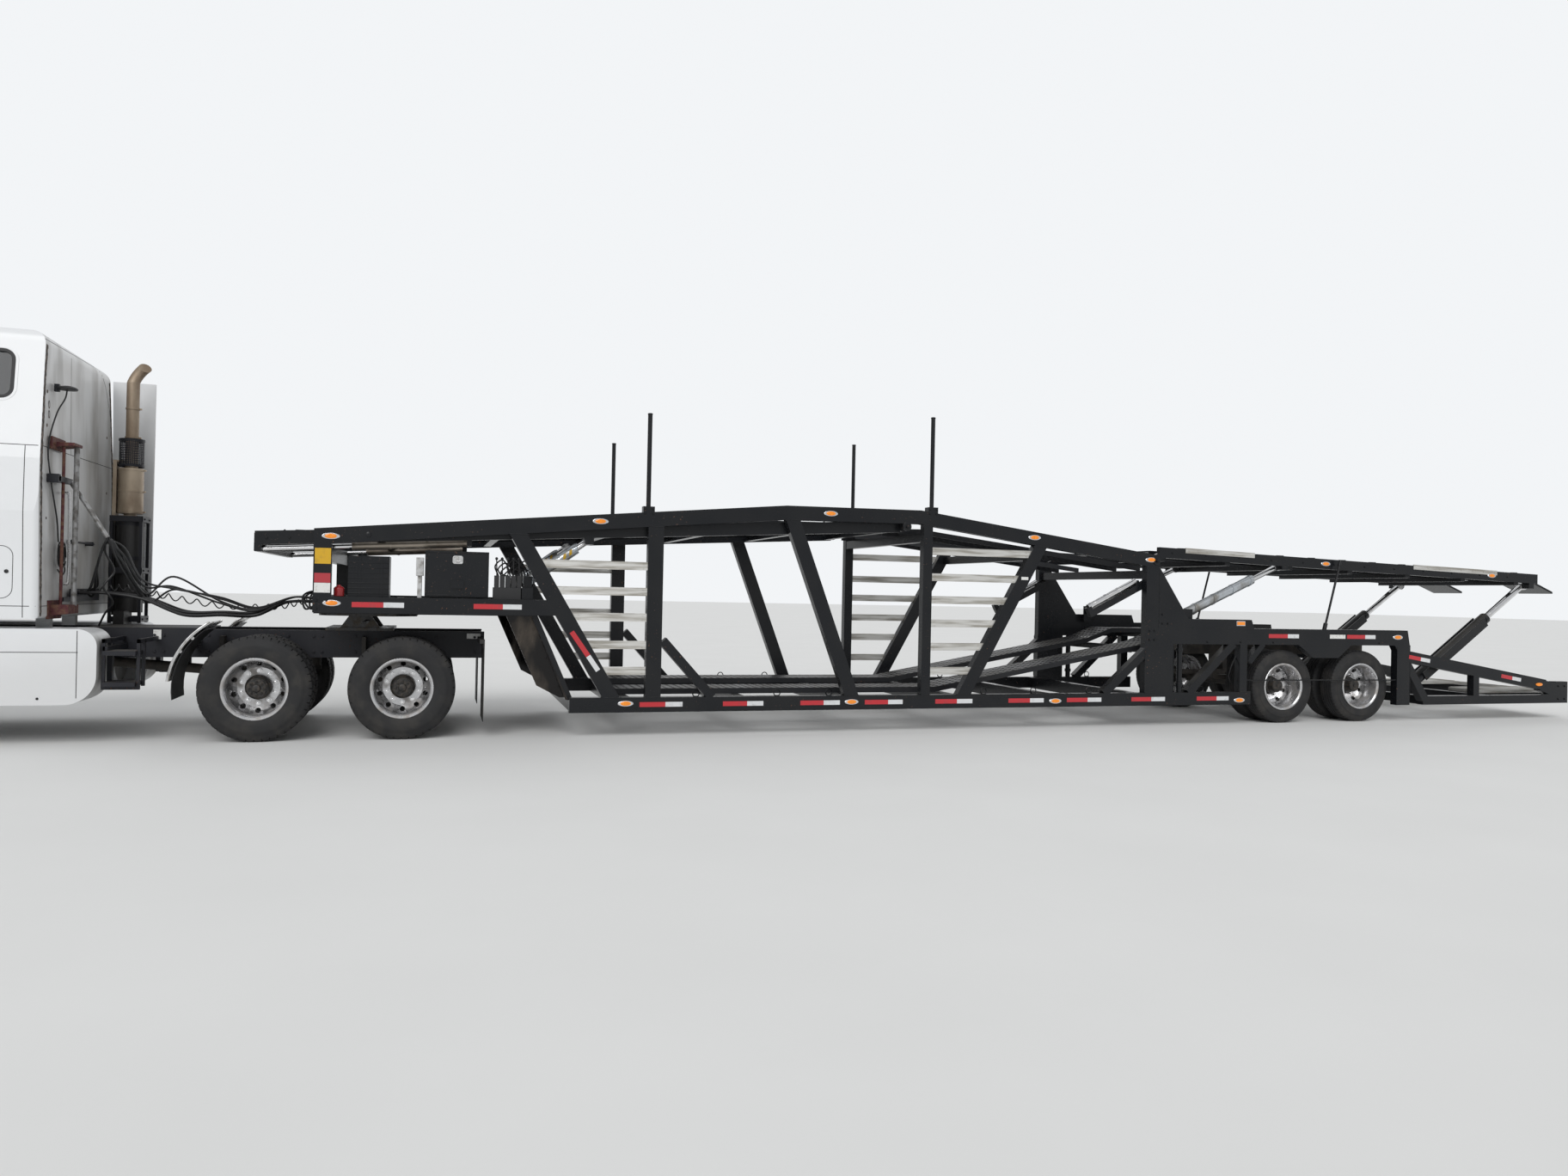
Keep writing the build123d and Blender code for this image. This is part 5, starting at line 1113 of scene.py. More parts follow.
rubbed_white = blank.step(blank.noise(30, 5), 0.5, 0.72) * 0.6
blank.set(Base_Color=blank.mix(rubbed_white, (0.72, 0.72, 0.70), (0.40, 0.37, 0.33)))
label_out, label_thick = rail_y, 0.0035         # a small label on the left rail's web
plate = Form()
plate.box(-2.352, -2.282, -label_out - label_thick, -label_out, 0.938, 1.032)
plate.piece("rail_plate", blank, "tractor")


# Trailer frame: two welded side frames of box section, painted gloss black, with cross members
# under the decks. Weld beads run where the members meet the rails, and gussets are bolted.

frame_paint = chassis_paint("Trailer paint", (0.007, 0.008, 0.010), (0.085, 0.078, 0.066), 0.24)
wear(frame_paint, "side_frames", "cross_members", "toolbox", "toolbox_door", "front_deck", "rear_deck")
wear(grime, "trailer_axles")
half_width, inner_face = 1.295, 1.197
upper_line = ((-0.823, 2.048), (3.91, 2.474), (5.5, 2.49), (8.69, 2.075))
upper_depth, lower_top = 0.155, 0.405
member_table = (        # X at the upper rail, X at the lower rail, width along X
    (1.04, 2.085, 0.180), (2.481, 2.481, 0.163), (3.96, 4.73, 0.165),
    (5.595, 5.595, 0.110), (7.08, 6.04, 0.170), (8.596, 8.596, 0.184),
)


def line_z(line, x):
    """Height of a line of points in X and Z at X."""
    for (x0, z0), (x1, z1) in zip(line, line[1:]):
        if x <= x1:
            return z0 + (z1 - z0) * (x - x0) / (x1 - x0)
    return line[-1][1]


def member_x(member, z):
    """Middle of a frame member at height z."""
    top_x, low_x, _ = member
    high = line_z(upper_line, top_x) - upper_depth + 0.07
    return top_x + (low_x - top_x) * (high - z) / (high - lower_top + 0.07)


def bead(form, points, radius=0.0045):
    """A weld bead, a little uneven, along a line."""
    line = []
    for first, second in zip(points, points[1:]):
        first, second = Vector(first), Vector(second)
        count = max(2, round((second - first).length / 0.014))
        line += [first.lerp(second, k / count) for k in range(count)]
    line.append(Vector(points[-1]))
    form.tube(line, [radius * random.uniform(0.8, 1.25) for _ in line], 6)


weld_lines = (          # the other welds on the outer face, in X and Z
    ((8.69, 1.19), (8.69, 1.90)), ((8.907, 0.41), (8.907, 0.99)), ((8.50, 0.42), (8.50, 0.99)),
    ((10.06, 0.41), (9.89, 0.41)), ((-0.663, 1.41), (-0.663, 1.90)), ((9.18, 1.2), (10.09, 1.2)),
    ((10.8, 0.995), (11.62, 0.995)), ((12.40, 0.34), (12.40, 0.98)), ((12.62, 0.34), (12.62, 0.78)),
    ((13.73, 0.335), (13.83, 0.335)), ((14.98, 0.335), (15.22, 0.335)),
)
welds = Form()
for side in (-1, 1):
    y, inner_y = side * half_width, side * inner_face
    for member in member_table:
        half, leans = member[2] / 2, abs(member[0] - member[1]) > 0.5
        reach = half * (1.15 if leans else 1)           # a leaning member meets the rail over more
        for z in (line_z(upper_line, member[0]) - upper_depth, lower_top):
            x = member_x(member, z)
            bead(welds, ((x - reach, y, z), (x + reach, y, z)))
        x, z = member_x(member, lower_top), lower_top + 0.002
        bead(welds, ((x - half, inner_y, z), (x + half, inner_y, z)), 0.006)
    for line in weld_lines:
        bead(welds, [(x, y, z) for x, z in line])
welds.piece("frame_welds", frame_paint, "trailer")

frame_bolts = (
    (8.56, 1.05), (8.56, 1.16), (8.63, 1.05), (8.63, 1.16), (8.74, 1.25), (8.74, 1.36), (8.82, 1.25),
    (-0.79, 1.28), (-0.79, 1.36), (-0.70, 1.36), (15.29, 0.27), (15.29, 0.45), (15.41, 0.27), (15.41, 0.45),
)
pads = ((2.4, 3.37), (5.65, 3.55))              # X of a stanchion, height of its top
ring_y, stake_y = 1.25, 1.245
hardware = Form()
for side in (-1, 1):
    y, out = side * half_width, (0, side, 0)
    # The round plug in the upper rail, hinge bosses, pads and the bolts of the rear post's plate
    hardware.turned(((0, 0.026), (0.006, 0.026), (0.011, 0.018), (0.011, 0.004)), (-0.335, y, 2.005), out, 20)
    for x, z in ((5.33, 2.30), (8.64, 2.01)):
        hardware.turned(((0, 0.052), (0.008, 0.052), (0.010, 0.046)), (x, y, z), out, 28)
        hardware.bolt((x, y + side * 0.010, z), out, 0.040, 0.020)
    for x, z in frame_bolts:
        hardware.bolt((x, y, z), out, 0.024, 0.011)
    for x, top in pads:
        for dz in (-0.015, 0.035):
            for dx in (-0.042, 0.042):
                hardware.bolt((x + dx, y, line_z(upper_line, x) + dz), out, 0.018, 0.009)
        hardware.turned(((0, 0.027), (0.012, 0.027), (0.016, 0.015)), (x, side * stake_y, top - 0.006),
                        upward, 16)
    # Lashing rings along the lower rail, and bolts under the decks' edge
    for x in (2.95, 3.85, 4.45, 6.35, 7.00, 7.75, 9.35):
        hardware.turned(((-0.006, 0.036), (0, 0.042), (0.006, 0.036), (0, 0.030)),
                        (x, side * ring_y, lower_top + 0.034), (0, 1, 0), 20, closed=True)
        hardware.box(x - 0.022, x + 0.022, side * (ring_y - 0.025), side * (ring_y + 0.025),
                     lower_top - 0.002, lower_top + 0.008)
    for x in (9.4, 9.9, 10.4, 12.1):
        hardware.bolt((x, y, 1.03), out, 0.02, 0.009)
    # Rings on the upright cylinder and the leaning stake's socket
    for z in (0.50, 0.93):
        band(hardware, (9.03, side * stake_y, z), upward, 0.02, 0.034, 0.010, 20)
    hardware.tube(((11.24, side * stake_y, 1.195), (11.262, side * stake_y, 1.28)), 0.026, 14)
    hardware.tube(((11.466, side * stake_y, 2.03), (11.485, side * stake_y, 2.10)), 0.021, 12)
hardware.piece("frame_hardware", frame_paint, "trailer")

# The nose's slanted cheek plates, polished by the load
gloss = Finish("Worn gloss black plate", (0.035, 0.030, 0.026), 0.12, 0.55)
rub = gloss.step(gloss.noise(5, 5, (1, 1, 0.4)), 0.42, 0.68)
gloss.set(Base_Color=gloss.mix(rub, (0.012, 0.011, 0.011), (0.075, 0.062, 0.050)),
          Roughness=rub * 0.22 + 0.10)
cheek = ((0.98, 1.242), (1.238, 1.242), (1.59, 0.395), (1.535, 0.395), (1.30, 0.52))
cheek_edge = ((1.238, 1.242), (1.285, 1.242), (1.645, 0.375), (1.59, 0.375))
cheeks = Form()
for side in (-1, 1):
    cheeks.prism(cheek, side * 1.10, side * 1.118)
    cheeks.prism(cheek_edge, side * 1.08, side * 1.19)
    for share in (0.1, 0.5, 0.9):
        cheeks.bolt((1.225 + 0.33 * share, side * 1.118, 1.17 - 0.74 * share), (0, side, 0), 0.018, 0.008)
cheeks.piece("nose_cheeks", gloss, "trailer", 0.0015)


# Reflective tapes, labels and the plate: red and white retroreflective strips along the frame,
# and blank labels and a blank yellow plate on the front post.

def reflective(name, colour):
    """Retroreflective sheeting with its sealed cells."""
    tape = Finish(name, colour, 0.3, Coat_Weight=0.5)
    cells = tape.node("ShaderNodeTexVoronoi", {}, {"Vector": tape.place(), "Scale": 260.0})
    worn = tape.step(tape.noise(18, 5), 0.5, 0.75)
    tape.set(Base_Color=tape.mix(worn * 0.5, colour, [channel * 0.55 + 0.02 for channel in colour]),
             Roughness=worn * 0.3 + 0.28)
    return tape.bump(cells, 0.0006)


tape_red = reflective("Red reflective tape", (0.50, 0.012, 0.022))
tape_white = reflective("White reflective tape", (0.68, 0.69, 0.70))
tape_thick, tape_high = 0.0012, 0.050
tape_table = (          # height, then X where red starts, where white starts and where it ends
    (0.330, ((2.342, 2.614, 2.798), (3.237, 3.504, 3.686), (4.107, 4.375, 4.566), (4.862, 5.141, 5.318),
             (5.721, 5.991, 6.187), (6.652, 6.934, 7.116), (7.427, 7.708, 7.897), (8.317, 8.597, 8.794),
             (9.256, 9.549, 9.729))),
    (1.325, ((-0.473, -0.186, 0.004), (0.658, 0.940, 1.125))),
    (1.110, ((10.324, 10.618, 10.793), (11.563, 11.858, 12.029))),
)
slanted_tapes = (       # 0 for red and 1 for white, then both ends in X and Z
    (0, (1.628, 1.081), (1.800, 0.836)), (1, (1.801, 0.834), (1.905, 0.684)),
    (0, (12.60, 0.854), (12.80, 0.822)), (1, (12.801, 0.822), (12.96, 0.797)),
    (0, (14.225, 0.596), (14.425, 0.564)), (1, (14.426, 0.564), (14.585, 0.539)),
)
tapes = Form()
for side in (-1, 1):
    y = (side * half_width, side * (half_width + tape_thick))
    for z, strips in tape_table:
        for start, change, end in strips:
            for tapes.paint, x0, x1 in ((0, start, change), (1, change + 0.001, end)):
                tapes.box(x0, x1, *y, z - tape_high / 2, z + tape_high / 2)
    for tapes.paint, start, end in slanted_tapes:
        tapes.bar(start, end, tape_high, *y)
tapes.piece("reflective_tapes", (tape_red, tape_white), "trailer")

yellow = Finish("Yellow plate", (0.62, 0.36, 0.01), 0.4)
faded = yellow.step(yellow.noise(14, 5), 0.5, 0.75) * 0.5
yellow.set(Base_Color=yellow.mix(faded, (0.62, 0.36, 0.01), (0.30, 0.18, 0.03)))
red_label = Finish("Red label", (0.42, 0.025, 0.035), 0.45)
red_label.set(Base_Color=red_label.mix(red_label.noise(20, 4) * 0.5, (0.44, 0.025, 0.04), (0.30, 0.05, 0.05)))
label_table = (         # 0 yellow, 1 red, 2 white, then X and Z from and to
    (0, -0.811, -0.663, 1.711, 1.862), (1, -0.812, -0.668, 1.530, 1.622),
    (2, -0.812, -0.668, 1.435, 1.528), (2, 11.285, 11.535, 1.085, 1.135), (2, 6.79, 6.88, 1.735, 1.770),
)
labels = Form()
for side in (-1, 1):
    for labels.paint, x0, x1, z0, z1 in label_table:
        labels.box(x0, x1, side * half_width, side * (half_width + 0.0015), z0, z1)
labels.paint = 2
labels.box(0.62, 0.76, -0.4335, -0.430, 0.965, 1.02)
labels.piece("blank_labels", (yellow, red_label, blank), "trailer")


# Marker lamps: amber oval lenses in chromed oval bezels, with two amber bars.

amber = Finish("Amber lens", (0.85, 0.26, 0.012), 0.18, Coat_Weight=0.6, Emission_Strength=0.25)
ribs = amber.noise(160, 1, (1, 1, 0.1))
amber.set(Base_Color=amber.mix(ribs, (0.90, 0.30, 0.015), (0.60, 0.15, 0.005)),
          Emission_Color=amber.mix(ribs, (0.9, 0.30, 0.01), (0.5, 0.12, 0.0)))
amber.bump(ribs, 0.001)
bezel_profile = ((0, 1.0), (0.005, 1.0), (0.009, 0.93), (0.009, 0.70))
lens_profile = ((0.004, 0.98), (0.010, 0.97), (0.0135, 0.82), (0.0145, 0.45))


def oval(form, centre, size, profile, side):
    """An oval dish on a side face; profile gives how far out, and the share of its size there."""
    x, y, z = centre
    form.loft([[(x + size[0] / 2 * share * math.cos(a), y + side * out, z + size[1] / 2 * share * math.sin(a))
                for a in (math.tau * k / 28 for k in range(28))] for out, share in profile])


def oval_lamp(form, centre, bezel, lens, side):
    """A lamp's bezel and its lens, by their lengths and heights."""
    form.paint = 1
    oval(form, centre, bezel, bezel_profile, side)
    form.paint = 0
    oval(form, centre, lens, lens_profile, side)


oval_lamps = ((-0.673, 1.979), (-0.652, 1.336), (1.897, 2.222), (4.415, 2.408), (6.953, 2.234), (8.56, 2.02),
              (2.195, 0.343), (4.703, 0.336), (7.270, 0.321), (9.888, 0.306), (12.4, 1.11))
lamps = Form()
for side in (-1, 1):
    for x, z in oval_lamps:
        oval_lamp(lamps, (x, side * half_width, z), (0.165, 0.062), (0.112, 0.048), side)
    for lamps.paint, grow, out in ((1, 0.010, 0.005), (0, 0.0, 0.012)):
        lamps.box(9.838 - grow, 9.948 + grow, side * half_width, side * (half_width + out),
                  1.243 - grow, 1.283 + grow)
lamp_piece = lamps.piece("side_lamps", (amber, bright), "trailer", 0.001)
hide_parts("marker_lamps")


# Slats: rolled aluminium strips bolted between the first members, streaked by wear and dust.

slat_metal = Finish("Aluminium slats", (0.66, 0.65, 0.62), 0.33, 0.75)
drag = slat_metal.step(slat_metal.noise(3.2, 6, (0.6, 1, 8)), 0.38, 0.68)
slat_metal.set(Base_Color=slat_metal.mix(drag, (0.72, 0.71, 0.68), (0.36, 0.34, 0.30)),
               Roughness=drag * 0.22 + 0.42)
slat_metal.bump(slat_metal.noise(70, 3, (0.2, 1, 3)), 0.0008)
wear(slat_metal, "side_rungs")
slat_y, lip_y = 1.283, 1.2835
slat_table = (          # heights of the slats, and the members they run between
    ((1.772, 1.504, 1.236, 0.950, 0.681), 0, 1), ((2.034, 1.739, 1.483, 1.217, 0.952, 0.676), 3, 4),
)


def slat_ends(first, second, z):
    """X of both ends of a slat at height z, where it meets its members."""
    return (member_x(member_table[first], z) + member_table[first][2] / 2,
            member_x(member_table[second], z) - member_table[second][2] / 2)


clips = Form()
for side in (-1, 1):
    for heights, first, second in slat_table:
        for z in heights:
            for x, inward in zip(slat_ends(first, second, z), (0.045, -0.045)):
                for dz in (-0.022, 0.022):
                    clips.bolt((x + inward, side * slat_y, z + dz), (0, side, 0), 0.014, 0.006)
            # The turned lips along each slat's edges
            for lip in (z - 0.040, z + 0.040):
                x0, x1 = slat_ends(first, second, lip)
                clips.tube(((x0 + 0.004, side * lip_y, lip), (x1 - 0.004, side * lip_y, lip)), 0.0035, 6)
clips.piece("slat_fittings", slat_metal, "trailer")


# Runways: folded channels whose tops are punched with rows of drain holes. One pair runs along
# the lower deck and up over the axles, the other fills the middle of the upper deck.

runway_y, runway_depth, runway_wall = (0.430, 0.940), 0.060, 0.012
lower_line = ((2.15, 0.465), (5.878, 0.465), (8.824, 1.0), (9.2, 1.14), (12.5, 1.14))
middle_line = ((5.38, 2.295), (5.65, 2.30), (8.66, 1.95))


def track(form, line, side, cell=0.085, lift=0.0):
    """A runway's punched top along a line in X and Z."""
    for (x0, z0), (x1, z1) in zip(line, line[1:]):
        up = Vector((z0 - z1, 0, x1 - x0)).normalized()

        def place(u, v):
            return Vector((x0 + (x1 - x0) * u, side * (runway_y[0] + (runway_y[1] - runway_y[0]) * v),
                           z0 + (z1 - z0) * u)) + up * lift, up
        punched(form, place, max(1, round(math.dist((x0, z0), (x1, z1)) / cell)), 6, 0.27, 0.006)


def wall(form, line, side, y):
    """A runway's side wall, which hangs from its top line at Y."""
    outline, count = list(line) + [(x, z - runway_depth) for x, z in reversed(line)], len(line)
    low, high = [[form.mesh.verts.new((x, side * edge, z)) for x, z in outline]
                 for edge in (y, y + runway_wall)]
    for k in range(2 * count):
        j = (k + 1) % (2 * count)
        form.face((low[k], low[j], high[j], high[k]))
    for loop in (low, high):
        for k in range(count - 1):
            form.face((loop[k], loop[k + 1], loop[2 * count - 2 - k], loop[2 * count - 1 - k]))


runway_metal = chassis_paint("Runway paint", (0.013, 0.014, 0.017), (0.16, 0.15, 0.13), 0.42)
punched_decks = Form()
for side in (-1, 1):
    for line in (lower_line, middle_line):
        track(punched_decks, line, side)
        for y in (runway_y[0], runway_y[1] - runway_wall):
            wall(punched_decks, line, side, y)
runway_piece = punched_decks.piece("punched_runways", runway_metal, "trailer")
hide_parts("deck_runways")


# Toolbox and hydraulics: a sheet steel chest with a drop-down lid and a paddle latch, the oil
# reservoir ahead of it, and the lever valves with their hoses behind it.

chest_x, lid_y, latch_x = (0.19, 0.80), -1.2223, 0.5
lid_parts = Form()
for x0, x1, z0, z1 in ((*chest_x, 1.852, 1.866), (*chest_x, 1.422, 1.436), (0.194, 0.208, 1.43, 1.86),
                       (0.782, 0.796, 1.43, 1.86)):
    lid_parts.box(x0, x1, lid_y, lid_y - 0.006, z0, z1)
for x in (0.28, 0.495, 0.71):
    lid_parts.tube(((x - 0.04, lid_y + 0.010, 1.4163), (x + 0.04, lid_y + 0.010, 1.4163)), 0.011, 12)
# The latch's dished plate, its lock and its paddle
lid_parts.paint = 1
dish = [(0.45, 1.745, 0.020), (0.55, 1.745, 0.020), (0.55, 1.825, 0.020), (0.45, 1.825, 0.020)]
lid_parts.loft([[(x, lid_y - out, z) for x, z in rounded(dish, -inset)]
                for out, inset in ((0.0, 0), (0.005, 0), (0.0065, 0.003), (0.0065, 0.009), (0.002, 0.012))])
lid_parts.turned(((0.002, 0.011), (0.012, 0.011), (0.014, 0.008)), (latch_x, lid_y, 1.80), (0, -1, 0), 16)
lid_parts.tube(((latch_x - 0.022, lid_y - 0.016, 1.775), (latch_x, lid_y - 0.017, 1.768),
                (latch_x + 0.022, lid_y - 0.016, 1.775)), 0.006, 8)
lid_parts.tube(((latch_x, lid_y - 0.004, 1.80), (latch_x, lid_y - 0.016, 1.77)), 0.005, 8)
lid_parts.piece("lid_fittings", (frame_paint, plate_silver), "toolbox_door", 0.001)

red_paint = Finish("Red canister", (0.36, 0.015, 0.02), 0.35, Coat_Weight=0.3)
dulled = red_paint.noise(12, 5) * 0.6
red_paint.set(Base_Color=red_paint.mix(dulled, (0.40, 0.015, 0.022), (0.16, 0.03, 0.025)))
tank_face, tank_cap = -1.1947, (-0.40, -1.02, 1.80)
hydraulics = Form()
hydraulics.turned(((-0.004, 0.045), (0.0, 0.05), (0.075, 0.05), (0.09, 0.035), (0.095, 0.018),
                   (0.105, 0.018), (0.107, 0.014)), (-0.60, -1.16, 1.405), upward, 24)
hydraulics.paint = 1
# The reservoir's cap, straps and pressed ribs
hydraulics.turned(((0, 0.045), (0.02, 0.045), (0.024, 0.038)), tank_cap, upward, 24)
for x in (-0.43, -0.23):
    hydraulics.box(x, x + 0.03, -1.1975, tank_face, 1.402, 1.80)
for k in range(7):
    hydraulics.box(-0.52, -0.14, -1.199, tank_face, 1.43 + 0.05 * k, 1.438 + 0.05 * k)
# Five valves with their levers and knobs, each with a hose from its foot
hydraulics.paint = 2
for k in range(5):
    x = 0.86 + 0.055 * k
    knob_x = x + 0.016
    hydraulics.box(x, x + 0.045, -1.19, -1.08, 1.52, 1.64)
    hydraulics.tube(((x + 0.022, -1.15, 1.64), (x + 0.018, -1.165, 1.76), (knob_x, -1.17, 1.80)), 0.006, 8)
    hydraulics.turned(((0, 0.006), (0.008, 0.014), (0.022, 0.014), (0.03, 0.006)),
                      (knob_x, -1.17, 1.795), (0, -0.1, 1), 14)
    hydraulics.tube(curve(((x + 0.022, -1.10, 1.52), (x + 0.03, -1.10, 1.45), (x + 0.08, -1.04, 1.43),
                           (x + 0.12, -0.90, 1.435 + 0.012 * k))), 0.009, 8)
hydraulics.box(0.85, 1.13, -1.195, -1.02, 1.40, 1.52)
# A bare box with a pressed diamond pattern, on its foot
hydraulics.paint = 3
hydraulics.box(0.105, 0.175, -1.16, -0.90, 1.62, 1.80)
for i in range(4):
    for j in range(3):
        x, z = 0.114 + 0.016 * i, 1.65 + 0.05 * j
        hydraulics.prism(((x, z), (x + 0.004, z - 0.014), (x + 0.008, z), (x + 0.004, z + 0.014)),
                         -1.163, -1.159)
hydraulics.box(0.12, 0.16, -1.14, -0.92, 1.3995, 1.62)
hydraulics.piece("hydraulic_fittings", (red_paint, frame_paint, black_trim, plate_silver), "trailer", 0.0015)

# Hoses over the valves, six lines behind the nose, three couplings with their loops, one drop
nose_couplings = (-0.42, -0.5, 0.34)
lines = Form()
for k in range(9):
    x, dip = 0.90 + 0.03 * k, 0.03 * (k * 5 % 4)
    lines.tube(curve(((x, -1.07, 1.64), (x - 0.03, -1.03, 1.74 - dip), (x + 0.05, -0.99, 1.80 - dip),
                      (x + 0.12, -0.98, 1.66), (x + 0.10, -1.0, 1.47))), 0.008, 8)
for k in range(6):
    y = -0.33 + 0.088 * k
    lines.tube(curve(((-0.740, y, 1.335), (-0.62, y - 0.02, 1.36 + 0.02 * (k % 3)),
                      (-0.45, y - 0.10, 1.275), (-0.14, y - 0.22, 1.262))), 0.010, 8)
for k, y in enumerate(nose_couplings):
    lines.tube(curve(((-0.835, y, 1.33), (-0.92 - 0.04 * k, y - 0.05, 1.26),
                      (-0.99, y - 0.02, 1.36 + 0.03 * k), (-0.90, y + 0.06, 1.44),
                      (-0.83, y + 0.02, 1.385))), 0.010, 8)
for y in nose_couplings:
    lines.turned(((0, 0.02), (0.02, 0.02), (0.022, 0.014)), (-0.845, y, 1.33), (1, 0, 0), 12)
lines.tube(((9.93, -1.19, 1.02), (9.90, -1.21, 0.86), (9.82, -1.22, 0.72), (9.80, -1.20, 0.60),
            (9.84, -1.19, 0.52)), 0.006, 8)
lines.piece("hydraulic_lines", black_rubber, "trailer")


# Decks: black rails and cross bars under punched runways, with bare aluminium strips along the
# rear deck's edge. Each deck turns on two pins and is raised by a pair of cylinders.

front_line, rear_line = ((-1.354, 2.010), (5.30, 2.370)), ((8.766, 2.186), (15.011, 2.006))
deck_half = 1.180


def deck_runway(name, body, line, drop):
    """A punched tread over each of a deck's runways."""
    form = Form()
    for side in (-1, 1):
        track(form, [(x, z - drop) for x, z in line], side, lift=0.006)
        for x, z in line:
            form.box(x - 0.006, x + 0.006, side * runway_y[0], side * runway_y[1],
                     z - drop - 0.002, z - drop + 0.006)
    form.piece(name, runway_metal, body)


def tie_slot(form, line, x, side):
    """A tie-down slot's rim on top of a deck's rail."""
    z = line_z(line, x)
    form.box(x, x + 0.10, side * 1.135, side * 1.165, z - 0.004, z + 0.006)


deck_runway("front_deck_treads", "front_deck", [(x, line_z(front_line, x)) for x in (-1.27, 5.27)], 0.010)
deck_runway("rear_deck_treads", "rear_deck", [(x, line_z(rear_line, x)) for x in (8.80, 15.0)], 0.040)
front_parts, rear_parts = Form(), Form()
for side in (-1, 1):
    y, out = side * deck_half, (0, side, 0)
    for k in range(13):
        x = -1.1 + 0.5 * k
        front_parts.bolt((x, side * 1.12, line_z(front_line, x)), upward, 0.018, 0.008)
        tie_slot(front_parts, front_line, x + 0.1, side)
    for x in (-1.25, -1.05):
        front_parts.bolt((x, y, line_z(front_line, x) - 0.07), out, 0.022, 0.010)
    bead(front_parts, ((-1.354, y, 1.99), (-1.354, y, 1.82)))
    for k in range(12):
        x = 8.95 + 0.5 * k
        tie_slot(rear_parts, rear_line, x + 0.1, side)
        rear_parts.bolt((x, y, line_z(rear_line, x) - 0.065), out, 0.018, 0.008)
# The bare strips along the rear deck's edge
rear_parts.paint = 1
for side in (-1, 1):
    for x0, x1 in ((9.14, 10.18), (12.77, 14.25)):
        z0, z1 = line_z(rear_line, x0), line_z(rear_line, x1)
        rear_parts.prism(((x0, z0 - 0.052), (x1, z1 - 0.052), (x1, z1 + 0.012), (x0, z0 + 0.012)),
                         side * 1.176, side * 1.188)
        for k in range(8):
            x = x0 + 0.05 + (x1 - x0 - 0.1) * k / 7
            rear_parts.bolt((x, side * 1.188, line_z(rear_line, x) - 0.020), (0, side, 0), 0.012, 0.005)
# The flaps' punched mesh, with its ribs
rear_parts.paint = 0
flap_start, flap_end = Vector((15.02, 0, 1.966)), Vector((15.555, 0, 1.762))
flap_up = Vector((flap_start.z - flap_end.z, 0, flap_end.x - flap_start.x)).normalized()
for side in (-1, 1):
    def flap(u, v):
        across = Vector((0, side * (0.472 + 0.506 * v), 0))
        return flap_start.lerp(flap_end, u) + across + flap_up * 0.006, flap_up
    punched(rear_parts, flap, 12, 11, 0.34, 0.004)
    for y in (0.474, 0.725, 0.976):
        rear_parts.tube((flap_start + Vector((0, side * y, 0.0)), flap_end + Vector((0, side * y, 0.004))),
                        0.009, 8)
front_parts.piece("front_deck_fittings", frame_paint, "front_deck")
rear_parts.piece("rear_deck_fittings", (frame_paint, slat_metal), "rear_deck")

# Deck lamps at the rear deck's edge, and the tail's lamps
deck_lamps = Form()
for side in (-1, 1):
    for x in (11.306, 14.157):
        oval_lamp(deck_lamps, (x, side * deck_half, line_z(rear_line, x) - 0.062),
                  (0.150, 0.060), (0.105, 0.046), side)
deck_lamps.piece("rear_deck_lamps", (amber, bright), "rear_deck")
tail_lamps = Form()
for side in (-1, 1):
    oval(tail_lamps, (14.92, side * half_width, 0.475), (0.12, 0.046), ((0, 1.0), *lens_profile[1:]), side)
tail_lamps.paint = 1
for y in (-0.40, -0.25, 0.25, 0.40):
    tail_lamps.turned(((0, 0.050), (0.010, 0.050), (0.016, 0.040), (0.017, 0.01)), (15.465, y, 0.272),
                      (1, 0, 0), 28)
tail_red = Finish("Red lens", (0.40, 0.008, 0.010), 0.15, Coat_Weight=0.6)
tail_red.bump(tail_red.noise(160, 1), 0.001)
tail_lamps.piece("tail_lamps", (amber, tail_red), "trailer", 0.001)


# Lift cylinders and arms: painted tubes with clamped collars and chromed rods. The long tubes
# under the front deck's nose are browned by dust.

silver = Finish("Silver cylinder paint", (0.46, 0.48, 0.50), 0.3, 0.6)
tarnish = silver.step(silver.noise(7, 6, (1, 1, 0.6)), 0.42, 0.68)
silver.set(Base_Color=silver.mix(tarnish, (0.50, 0.53, 0.56), (0.22, 0.21, 0.19)),
           Roughness=tarnish * 0.3 + 0.24)
arm_black = chassis_paint("Arm paint", (0.010, 0.011, 0.013), (0.09, 0.082, 0.07), 0.26)
wear(silver, "front_lift_tubes", "mid_arm_tubes")
wear(arm_black, "rear_arm_tubes")
wear(bright, "front_lift_rods", "rear_arm_rods", "mid_arm_rods")
arm_y = 1.030
front_ends, front_r = ((1.199, 1.590), (1.805, 2.030)), 0.055
rear_ends, rear_r = ((12.930, 0.480), (14.898, 1.850)), 0.075
middle_ends, middle_r = ((9.249, 1.369), (10.661, 2.000)), 0.060


